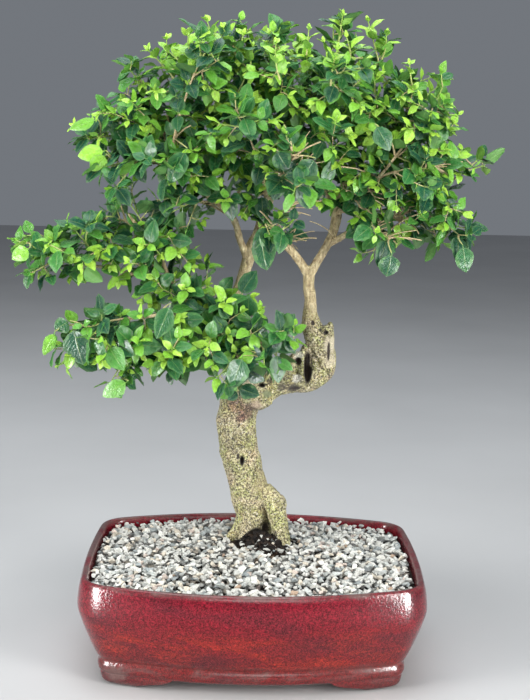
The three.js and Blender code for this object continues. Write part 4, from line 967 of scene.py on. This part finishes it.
young_bark = Finish("young_bark", Roughness=0.7)
woody = young_bark.add("SeparateColor", 0, Color=young_bark.attribute("leaf", "Color"))
stems = young_bark.steps(young_bark.grain(600, 4, 0.7), [(0.35, (0.30, 0.22, 0.11)), (0.55, (0.54, 0.43, 0.24)),
                                                         (0.7, (0.72, 0.60, 0.38))])
fresh = young_bark.steps(young_bark.grain(500, 3), [(0.3, (0.22, 0.38, 0.06)), (0.7, (0.38, 0.52, 0.12))])
young_bark.finish(Base_Color=young_bark.blend(woody, fresh, stems),
                  Normal=young_bark.add("Bump", 0, Strength=0.5, Distance=0.0003, Height=young_bark.grain(1500, 3)))


def welded(node):
    """A CAD node's mesh with its corners joined, in millimetres."""
    body = bmesh.new()
    body.from_mesh(node.data)
    bmesh.ops.scale(body, vec=(1 / MM,) * 3, verts=body.verts)
    bmesh.ops.remove_doubles(body, verts=body.verts, dist=0.02)
    return body


def blade_rings(tip):
    """The two rings behind a leaf's tip, as (centre, face direction, ends), or nothing."""
    near = [edge.other_vert(tip) for edge in tip.link_edges]
    if len(near) != 4 or len(tip.link_faces) != 4:
        return None
    behind = {edge.other_vert(vert) for vert in near for edge in vert.link_edges} - {tip} - set(near)
    rings = []
    for ring in (near, list(behind)):
        pairs = [(a, b) for place, a in enumerate(ring) for b in ring[place + 1:]
                 if abs((a.co - b.co).length - 1.1) < 0.03]
        if len(ring) != 4 or not pairs:
            return None
        top, bottom = pairs[0]
        ends = [vert for vert in ring if vert not in (top, bottom)]
        rings.append(((top.co + bottom.co) / 2, (top.co - bottom.co).normalized(), ends, ring))
    return rings


def leaf_facts(tip, rings):
    """Base, heading, face, length, half width, fold and arch of a CAD leaf."""
    (far, face, _, _), (near, near_face, ends, _) = rings
    if face.dot(near_face) < 0:
        near_face = -near_face
    face = (face + near_face).normalized()
    span = SIGHTS[1][0] - SIGHTS[0][0]
    squares = SIGHTS[1][0] ** 2 - SIGHTS[0][0] ** 2
    sag = -(far - near).dot(face) / squares
    run = (far - near + face * sag * squares) / span
    if (near + run * 0.7 - face * sag * 0.91 - tip.co).length > 1.5:
        return None
    base = near - run * SIGHTS[0][0] + face * sag * SIGHTS[0][0] ** 2
    half = (ends[0].co - ends[1].co).length / 2 / SIGHTS[0][1]
    fold = ((ends[0].co + ends[1].co) / 2 - near).dot(face) / (half * SIGHTS[0][1])
    if fold < 0:
        face, fold, sag = -face, -fold, -sag
    return base, run.normalized(), face, run.length, half, fold, sag / run.length


HEART = Vector((10, 40, 400))
leaf_places = []
twig_starts = []
twig_sides = []
branch_names = sorted(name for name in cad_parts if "_branch_" in name)
for number, name in enumerate(branch_names):
    spray = Spray(300 + number)
    body = welded(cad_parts[name])
    found, spent = [], set()
    for vert in list(body.verts):
        rings = blade_rings(vert) if vert not in spent else None
        facts = rings and leaf_facts(vert, rings)
        if facts:
            found.append(facts)
            spent |= {vert, *rings[0][3], *rings[1][3]}
    bmesh.ops.delete(body, geom=list(spent), context="VERTS")
    bmesh.ops.holes_fill(body, edges=[edge for edge in body.edges if edge.is_boundary])
    bmesh.ops.triangulate(body, faces=body.faces)
    bmesh.ops.subdivide_edges(body, edges=[edge for edge in body.edges if edge.calc_length() > 4],
                              cuts=2, use_grid_fill=False)
    for _ in range(2):
        bmesh.ops.smooth_vert(body, verts=body.verts, factor=0.25, use_axis_x=True, use_axis_y=True,
                              use_axis_z=True)
    body.normal_update()
    body.verts.index_update()
    solid = BVHTree.FromBMesh(body)
    ends = max(found, key=lambda facts: (facts[0] - HEART).length)[0] if found else HEART
    points, tint = [], np.ones((len(body.verts), 4))
    for place, vert in enumerate(body.verts):
        inwards = solid.ray_cast(vert.co - vert.normal * 0.05, -vert.normal)[3] or 0
        points.append(vert.co - vert.normal * 0.15 * min(inwards, 4))
        tint[place, 0] = smooth_step(8, 34, (vert.co - ends).length)
        tint[place, 2] = 0
        twig_starts.append((vert.co.copy(), 0.9))
        twig_sides.append((vert.co.copy(), vert.normal.copy()))
    spray.add(np.array(points), [tuple(vert.index for vert in face.verts) for face in body.faces],
              np.zeros((len(points), 2)), tint, 1)
    body.free()
    for base, heading, face, length, half, fold, arch in found:
        outer = (base - HEART).length
        age = 0.12 + 0.85 * smooth_step(12, 27, length) - 0.12 * smooth_step(120, 210, outer)
        age += spray.draw.gauss(0, 0.12)
        spray.leaf(base, heading, face, length, half, fold, arch, max(0, min(1, age)))
        leaf_places.append(base + heading * length * 0.5)
    branch = spray.piece(name.replace("branch", "shoot"))
    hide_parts(name)

# ---------------------------------------------------------------------------------------------
# Fine shoots. The short inner and outer twigs that make the crown and the two pads dense. They
# branch off the limbs and the larger shoots and carry two to four pairs of leaves, small and
# yellow-green at the tips and broad, dark and glossy inside.
# ---------------------------------------------------------------------------------------------
CLUMPS = {
    "crown_left": [((-120, 22, 468), (38, 40, 20)), ((-88, 18, 452), (36, 38, 18)),
                   ((-56, 24, 450), (42, 52, 30))],
    "crown_left_top": [((-80, 26, 490), (48, 50, 30)), ((-36, 30, 507), (44, 56, 30))],
    "crown_top": [((22, 24, 506), (50, 60, 34)), ((66, 34, 513), (44, 54, 32))],
    "crown_middle": [((6, 18, 462), (58, 68, 42)), ((-6, 24, 412), (34, 40, 22)),
                     ((58, 14, 428), (40, 46, 26)), ((60, 10, 476), (40, 60, 36))],
    "crown_right": [((122, 30, 481), (48, 56, 34)), ((140, 28, 450), (40, 52, 32))],
    "crown_right_low": [((112, 24, 420), (50, 48, 34)), ((160, 32, 400), (28, 32, 26)),
                        ((112, 20, 386), (26, 26, 15))],
    "upper_pad": [((-160, 20, 360), (50, 42, 24)), ((-112, 26, 364), (46, 50, 28)),
                  ((-76, 24, 340), (40, 44, 26))],
    "lower_pad": [((-128, -2, 282), (44, 34, 24)), ((-78, 0, 288), (44, 42, 24)),
                  ((-30, 0, 282), (40, 36, 22)), ((-8, -4, 282), (20, 26, 18)),
                  ((-26, 12, 317), (30, 26, 16))],
}
TIP_SPACING = 14
ZONE_STYLE = {
    "crown_left": (76, 19, 25, 5.0, 0.12), "crown_left_top": (92, 17, 24, 4.8, 0.20),
    "crown_top": (104, 17, 23, 4.6, 0.24), "crown_middle": (118, 18, 25, 5.2, 0.12),
    "crown_right": (96, 17, 24, 4.8, 0.20), "crown_right_low": (76, 18, 25, 5.2, 0.10),
    "upper_pad": (68, 19, 27, 6.0, 0.12), "lower_pad": (78, 20, 28, 6.0, 0.05),
}
SPRIGS = [
    ((-48, 20, 561), (-38, 20, 531)), ((-34, 10, 555), (-21, 10, 525)), ((-12, 30, 552), (-17, 30, 515)),
    ((8, 24, 549), (13, 24, 519)), ((32, 40, 549), (30, 40, 524)), ((68, 24, 569), (64, 24, 524)),
    ((52, 10, 545), (58, 10, 520)), ((91, 30, 565), (101, 30, 532)), ((107, 30, 554), (103, 30, 532)),
    ((146, 24, 519), (123, 24, 510)), ((150, 10, 510), (134, 10, 496)), ((170, 16, 487), (147, 16, 467)),
    ((162, 30, 497), (150, 30, 485)), ((-98, 20, 536), (-75, 20, 512)), ((-80, 10, 535), (-60, 10, 519)),
    ((-107, 20, 508), (-88, 20, 491)), ((-129, 16, 483), (-121, 16, 467)), ((-162, 20, 471), (-137, 20, 461)),
    ((-141, 10, 444), (-124, 10, 434)), ((-64, 36, 552), (-58, 36, 530)), ((20, 84, 556), (18, 76, 528)),
    ((-30, 86, 548), (-34, 78, 520)), ((84, 80, 552), (80, 76, 524)), ((126, 78, 524), (118, 70, 500)),
    ((-84, 70, 530), (-78, 62, 508)), ((10, -40, 540), (14, -34, 512)), ((60, -36, 536), (56, -32, 508)),
]
THICKETS = [
    ((-82, 26, 450), 12, (-0.3, -0.6, 0.7)), ((-67, 22, 461), 9, (0.2, -0.6, 0.7)), ((36, 26, 376), 12, (0.5, -0.7, 0.2)),
    ((24, 26, 384), 10, (-0.6, -0.6, 0.4)), ((84, 34, 398), 20, (0.9, -0.6, 0.2)), ((104, 26, 404), 20, (0.95, -0.5, 0.2)),
    ((122, 24, 388), 16, (0.95, -0.4, 0.1)), ((46, -6, 452), 16, (0.1, -0.9, 0.4)), ((36, -2, 430), 14, (-0.2, -0.9, 0.4)),
    ((146, 14, 440), 14, (0.9, -0.5, 0.3)), ((62, 6, 410), 14, (0.3, -0.9, 0.3)),
]
LONGEST_REACH = 70
LIGHT = Vector((0.05, -0.45, 1))


def clump_tips(clumps, count, draw):
    """Twig ends scattered through the clumps, denser towards their skin, none too close."""
    tips = []
    for _ in range(count * 60):
        centre, size = draw.choices(clumps, [a[1][0] * a[1][1] * a[1][2] for a in clumps])[0]
        way = Vector((draw.gauss(0, 1), draw.gauss(0, 1), draw.gauss(0, 1))).normalized()
        reach = draw.random() ** 0.42
        tip = Vector(centre) + Vector(a * b * reach for a, b in zip(way, size))
        if all((tip - other).length > TIP_SPACING for other, _ in tips):
            tips.append((tip, reach))
        if len(tips) == count:
            break
    return tips


def shoot_path(start, end, draw):
    """A twig's line: it leaves the wood, rises and bends towards its end."""
    span = end - start
    knee = start + span * 0.45 + Vector((draw.gauss(0, 0.10), draw.gauss(0, 0.10), 0.12)) * span.length
    count = max(4, round(span.length / 5))
    line = []
    for step in range(count + 1):
        t = step / count
        point = start * (1 - t) ** 2 + knee * 2 * t * (1 - t) + end * t * t
        line.append(point + noise.noise_vector(point / 9) * 0.8 * t * (1 - t) * 4)
    return line


def leaf_pair(spray, place, direction, turn, length, age, outwards):
    """Adds two opposite leaves to a twig, narrow and folded when young, broad when old."""
    draw = spray.draw
    side = direction.orthogonal().normalized()
    across = direction.cross(side)
    way = side * math.cos(turn) + across * math.sin(turn)
    for sign in (-1, 1):
        if draw.random() < 0.05:
            continue
        lean = math.radians(draw.uniform(40, 60) + 16 * age)
        heading = (direction * math.cos(lean) + way * sign * math.sin(lean)
                   + Vector((0, 0, draw.uniform(-0.15, 0.2)))).normalized()
        light = LIGHT + outwards * 0.6 + Vector((draw.gauss(0, 0.35), draw.gauss(0, 0.35), draw.gauss(0, 0.25)))
        face = light - heading * light.dot(heading)
        if face.length < 0.25:
            face = direction - heading * direction.dot(heading)
        size = length * draw.uniform(0.85, 1.12)
        spray.leaf(place, heading, face.normalized(), size, size * (draw.uniform(0.265, 0.32) + 0.04 * age),
                   draw.uniform(0.2, 0.6) - 0.15 * age, draw.uniform(0.0, 0.38), age)


def place_behind(line, back):
    """A place on a line and its direction, a distance back from the line's end."""
    for after, before in zip(line[:0:-1], line[-2::-1]):
        step = (after - before).length
        if back <= step:
            return after + (before - after) * back / step, (after - before).normalized()
        back -= step
    return line[0], (line[1] - line[0]).normalized()


def sprig(spray, start, end):
    """A fresh upright shoot: a thin pale green stem with small lime leaves in even pairs."""
    draw = spray.draw
    span = end - start
    bend = Vector((draw.gauss(0, 0.05), draw.gauss(0, 0.05), 0)) * span.length
    line = [start + span * share + bend * 4 * share * (1 - share) for share in (0, 0.2, 0.4, 0.6, 0.8, 1)]
    spray.twig(line, [0.85, 0.78, 0.7, 0.62, 0.54, 0.42], [0.75, 0.5, 0.3, 0.2, 0.1, 0.0], 5)
    turn = draw.random() * math.pi
    gap = draw.uniform(6.2, 8.2)
    full = draw.uniform(14, 18)
    outwards = (end - HEART).normalized()
    for pair in range(min(4, int(span.length / gap))):
        place, direction = place_behind(line, gap * (pair + 0.15 * pair))
        size = full * (0.55, 0.85, 1.0, 1.0)[pair]
        age = (0.0, 0.06, 0.15, 0.26)[pair] + draw.gauss(0, 0.04)
        leaf_pair(spray, place, direction, turn + pair * math.pi / 2, size, max(0, age), outwards)
    light = Vector((0, -1, 0.4))
    bud = span.normalized()
    spray.leaf(end, bud, (light - bud * light.dot(bud)).normalized(), full * 0.4, full * 0.10, 0.4, 0.1, 0.0)


def finder(places):
    """A search tree through a list of points."""
    tree = kdtree.KDTree(len(places))
    for number, place in enumerate(places):
        tree.insert(place, number)
    tree.balance()
    return tree


def grow(zone, clumps, starts, seed):
    """Grows a zone's shoots one after another, each from the nearest wood, and dresses them."""
    count, shortest, longest, gap, youth = ZONE_STYLE[zone]
    spray = Spray(seed)
    draw = spray.draw
    wood = list(starts)
    tips = clump_tips(clumps, count, draw)
    leaves = finder(leaf_places)
    waiting = [tip for tip in tips if leaves.find(tip[0])[2] > 6.5]
    while waiting:
        nearest = finder([place for place, _ in wood])
        found = [(nearest.find(tip[0]), tip) for tip in waiting]
        found.sort(key=lambda one: one[0][2])
        if found[0][0][2] > LONGEST_REACH:
            break
        for (start, number, away), (tip, reach) in found[:max(6, len(found) // 5)]:
            waiting.remove((tip, reach))
            if away < 7 or away > LONGEST_REACH:
                continue
            line = shoot_path(start, tip, draw)
            thick = min(wood[number][1] * 0.8, 0.7 + away / 70)
            radii = [thick + (0.42 - thick) * (step / (len(line) - 1)) ** 0.8 for step in range(len(line))]
            spray.twig(line, radii, [1 - 0.9 * smooth_step(0.55, 1, step / (len(line) - 1))
                                     for step in range(len(line))], 5)
            wood += list(zip(line[1:], radii[1:]))
            dress(spray, line, reach, draw.uniform(shortest, longest), gap * draw.uniform(0.85, 1.15), youth)
            if reach > 0.8 and youth > 0.15 and tip.z > 500 and draw.random() < 0.35:
                rise = Vector((draw.gauss(0, 0.25), draw.gauss(0, 0.25), 1)).normalized()
                sprig(spray, tip, tip + rise * draw.uniform(16, 26))
    return spray


def dress(spray, line, reach, full, gap, youth):
    """Puts leaf pairs on the outer part of a twig, from its tip inwards."""
    draw = spray.draw
    length = sum((b - a).length for a, b in zip(line, line[1:]))
    pairs = min(4, max(3, int(length * 0.85 / gap)))
    turn = draw.random() * math.pi
    outwards = (line[-1] - HEART).normalized()
    fresh = (youth + draw.uniform(-0.12, 0.16)) * reach
    for pair in range(pairs):
        place, direction = place_behind(line, gap * (0, 0.85, 1.9, 3.1)[pair])
        size = full * (0.42, 0.64, 0.9, 1.0)[pair]
        age = (0.06, 0.30, 0.78, 0.96)[pair] + 0.35 * (1 - reach) - fresh + draw.gauss(0, 0.10)
        leaf_pair(spray, place, direction, turn + pair * math.pi / 2, size, max(0, min(1, age)), outwards)
    bud = (line[-1] - line[-2]).normalized()
    light = LIGHT - bud * LIGHT.dot(bud)
    spray.leaf(line[-1], bud, light.normalized(), full * 0.34, full * 0.10, 0.5, 0.1, 0.0)


for centre, radius in wood_samples:
    if centre.z > 395 and radius < 5:
        wood_starts.append((centre, radius))
for number, (zone, clumps) in enumerate(CLUMPS.items()):
    grow(zone, clumps, wood_starts + twig_starts, 70 + number).piece(zone + "_fine_shoots")

# ---------------------------------------------------------------------------------------------
# Side spurs. Short side twigs of two leaf pairs that clothe the wood of the larger shoots.
# ---------------------------------------------------------------------------------------------
SPUR_SPACING = 11
spurs = Spray(83)
taken = []
for place, side in twig_sides:
    if all((place - other).length > SPUR_SPACING for other in taken):
        taken.append(place)
        if spurs.draw.random() < 0.6:
            side = Vector((side.x, -abs(side.y), side.z))
        way = side + Vector((0, -0.25, 0.5)) + Vector([spurs.draw.gauss(0, 0.3) for _ in range(3)])
        end = place + way.normalized() * spurs.draw.uniform(6, 13)
        spurs.twig([place, place.lerp(end, 0.5) + Vector((0, 0, -0.4)), end], [0.6, 0.52, 0.42], [0.9, 0.5, 0.1], 5)
        turn = spurs.draw.random() * math.pi
        full = spurs.draw.uniform(13, 22)
        for pair, share in enumerate((1.0, 0.55)):
            leaf_pair(spurs, place.lerp(end, share), (end - place).normalized(), turn + pair * math.pi / 2,
                      full * (0.7, 1.0)[pair], min(1, max(0, (full - 12) / 11 + 0.3 * pair + spurs.draw.gauss(0, 0.15))),
                      (end - HEART).normalized())
spurs.piece("side_spurs")

# ---------------------------------------------------------------------------------------------
# Fresh sprigs. This year's growth that stands up out of the crown: straight, thin green stems
# with up to four pairs of small lime-green leaves and a small leaf at the tip.
# ---------------------------------------------------------------------------------------------
sprigs = Spray(91)
nearest_wood = finder([place for place, _ in wood_starts + twig_starts])
for end, start in SPRIGS:
    sprig(sprigs, Vector(start), Vector(end))
sprigs.piece("fresh_sprigs")

# ---------------------------------------------------------------------------------------------
# Old leaves. The largest leaves, two seasons old, that hang out of the crown and the pads on
# twigs of their own: leathery, dark and glossy, with a few paler ones at the left edge.
# ---------------------------------------------------------------------------------------------
OLD_LEAVES = [
    ((1, 8, 381), (7, 8, 349), 11, 0.9), ((-158, -30, 303), (-150, -30, 268), 12.5, 0.95),
    ((-174, -24, 297), (-184, -24, 275), 5.5, 0.3), ((-162, -20, 306), (-175, -20, 297), 7.5, 0.8),
    ((-111, -24, 255), (-134, -24, 240), 8, 0.45), ((-12, -30, 280), (-22, -30, 251), 10.5, 0.85),
    ((114, -12, 369), (111, -12, 348), 10, 0.95), ((178, 6, 376), (183, 6, 351), 8.5, 0.8),
    ((-62, -30, 455), (-78, -30, 425), 9, 0.85), ((18, -36, 476), (30, -36, 453), 8.5, 0.75),
    ((45, -34, 449), (33, -34, 430), 9.5, 0.95), ((12, -34, 455), (22, -34, 439), 9, 0.95),
    ((94, -30, 478), (108, -30, 456), 8, 0.85), ((-74, -36, 325), (-86, -36, 293), 8.5, 0.8),
    ((-196, -16, 368), (-212, -16, 357), 7, 0.3), ((-132, -6, 451), (-157, -6, 446), 7.5, 0.2),
    ((-132, -6, 448), (-145, -6, 433), 7.5, 0.25), ((-106, -8, 444), (-125, -8, 431), 5.5, 0.4),
    ((-140, 0, 477), (-165, 0, 468), 5, 0.35),
]
old_leaves = Spray(107)
for base, tip, half_width, age in OLD_LEAVES:
    base, tip = Vector(base), Vector(tip)
    line = shoot_path(nearest_wood.find(base)[0], base, old_leaves.draw)
    radii = [0.9 - 0.4 * step / (len(line) - 1) for step in range(len(line))]
    old_leaves.twig(line, radii, [1 - 0.6 * step / (len(line) - 1) for step in range(len(line))], 5)
    heading = (tip - base).normalized()
    light = Vector((old_leaves.draw.gauss(0, 0.18), -1, 0.05))
    face = (light - heading * light.dot(heading)).normalized()
    old_leaves.leaf(base, heading, face, (tip - base).length, half_width, 0.2, 0.12, age)
old_leaves.piece("old_leaves")

# ---------------------------------------------------------------------------------------------
# Bare twigs. Cut stubs and dead twiglets left by many prunings, in tufts at the knots of the
# limbs. Tan, dry and without leaves.
# ---------------------------------------------------------------------------------------------
stubs = Spray(97)
for centre, count, way in THICKETS:
    for _ in range(count):
        near = Vector(centre) + Vector((stubs.draw.gauss(0, 9), stubs.draw.gauss(0, 9), stubs.draw.gauss(0, 7)))
        start = nearest_wood.find(near)[0]
        lean = Vector(way) + Vector([stubs.draw.gauss(0, 0.45) for _ in range(3)])
        end = start.lerp(near, 0.6) + lean.normalized() * stubs.draw.uniform(9, 25)
        line = shoot_path(start, end, stubs.draw)
        thick = stubs.draw.uniform(0.55, 1.05)
        radii = [thick * (1 - 0.4 * step / (len(line) - 1)) for step in range(len(line))]
        stubs.twig(line, radii, [1] * len(line), 5)
stubs.piece("bare_twigs")

# ---------------------------------------------------------------------------------------------
# Studio. A plain pale floor, two tall softboxes in front, soft lights overhead and behind, and a
# narrow reflector strip close to each front corner of the pot for the glaze's highlights. The
# camera stands level with the lower crown and looks down on the gravel.
# ---------------------------------------------------------------------------------------------
LENS = 64.29
CAMERA_PLACE = (7, -1086, 469)
CAMERA_PITCH = math.radians(9.87)
CAMERA_ROLL = math.radians(1.23)
TREE_TURN = math.radians(0.85)
floor = new_piece("floor", [(-6000, -4000, 0), (6000, -4000, 0), (6000, 5000, 0), (-6000, 5000, 0)],
                  [(0, 1, 2, 3)])
pale = Finish("floor_paint", Roughness=0.6)
pale.finish(floor, Base_Color=pale.steps(pale.grain(3, 3), [(0.3, (0.42, 0.42, 0.42)), (0.7, (0.46, 0.46, 0.46))]))


def softbox(name, place, aim, width, height, power, colour, fills=True):
    """A rectangular soft light that faces a point. A reflector strip only shows as a highlight."""
    light = bpy.data.lights.new(name, "AREA")
    light.shape = "RECTANGLE"
    light.size = width
    light.size_y = height
    light.energy = power
    light.color = colour
    lamp = bpy.data.objects.new(name, light)
    lamp.location = place
    lamp.rotation_euler = (Vector(aim) - Vector(place)).to_track_quat("-Z", "Y").to_euler()
    lamp.visible_diffuse = fills
    bpy.context.scene.collection.objects.link(lamp)


softbox("softbox_left", (-1.45, -0.72, 0.62), (0, 0, 0.25), 0.50, 1.15, 32, (1.0, 0.98, 0.95))
softbox("softbox_right", (1.18, -1.06, 0.62), (0, 0, 0.25), 0.50, 1.15, 30, (1.0, 0.98, 0.95))
softbox("strip_left", (-0.47, -0.33, 0.150), (-0.13, -0.11, 0.150), 0.16, 0.29, 7, (1.0, 1.0, 1.0), False)
softbox("strip_right", (0.462, -0.34, 0.150), (0.13, -0.11, 0.150), 0.13, 0.29, 6.5, (1.0, 1.0, 1.0), False)
softbox("overhead", (-0.2, -0.3, 1.9), (0, 0, 0.3), 1.3, 1.0, 26, (0.93, 0.97, 1.0))
softbox("back_sky", (0.0, 1.0, 1.9), (0, 0, 0.4), 1.6, 0.9, 12, (0.85, 0.93, 1.0))
softbox("front_fill", (0.1, -2.2, 1.2), (0, 0, 0.3), 1.2, 0.8, 15, (1.0, 1.0, 1.0))
world = bpy.data.worlds.new("studio")
world.use_nodes = True
world.node_tree.nodes["Background"].inputs["Color"].default_value = (0.50, 0.54, 0.60, 1)
world.node_tree.nodes["Background"].inputs["Strength"].default_value = 0.34
bpy.context.scene.world = world
bpy.context.scene.view_settings.view_transform = "Standard"

camera = bpy.data.objects.new("camera", bpy.data.cameras.new("camera"))
camera.data.lens = LENS
camera.data.sensor_width = 36
camera.data.clip_start = 0.01
right = Vector((1, 0, 0))
up = Vector((0, math.sin(CAMERA_PITCH), math.cos(CAMERA_PITCH)))
rolled_right = right * math.cos(CAMERA_ROLL) + up * math.sin(CAMERA_ROLL)
rolled_up = up * math.cos(CAMERA_ROLL) - right * math.sin(CAMERA_ROLL)
back = rolled_right.cross(rolled_up)
turn_back = Matrix.Rotation(-TREE_TURN, 4, "Z")
axes = Matrix((rolled_right, rolled_up, back)).transposed().to_4x4()
camera.matrix_world = turn_back @ Matrix.Translation(Vector(CAMERA_PLACE) * MM) @ axes
bpy.context.scene.collection.objects.link(camera)
bpy.context.scene.camera = camera
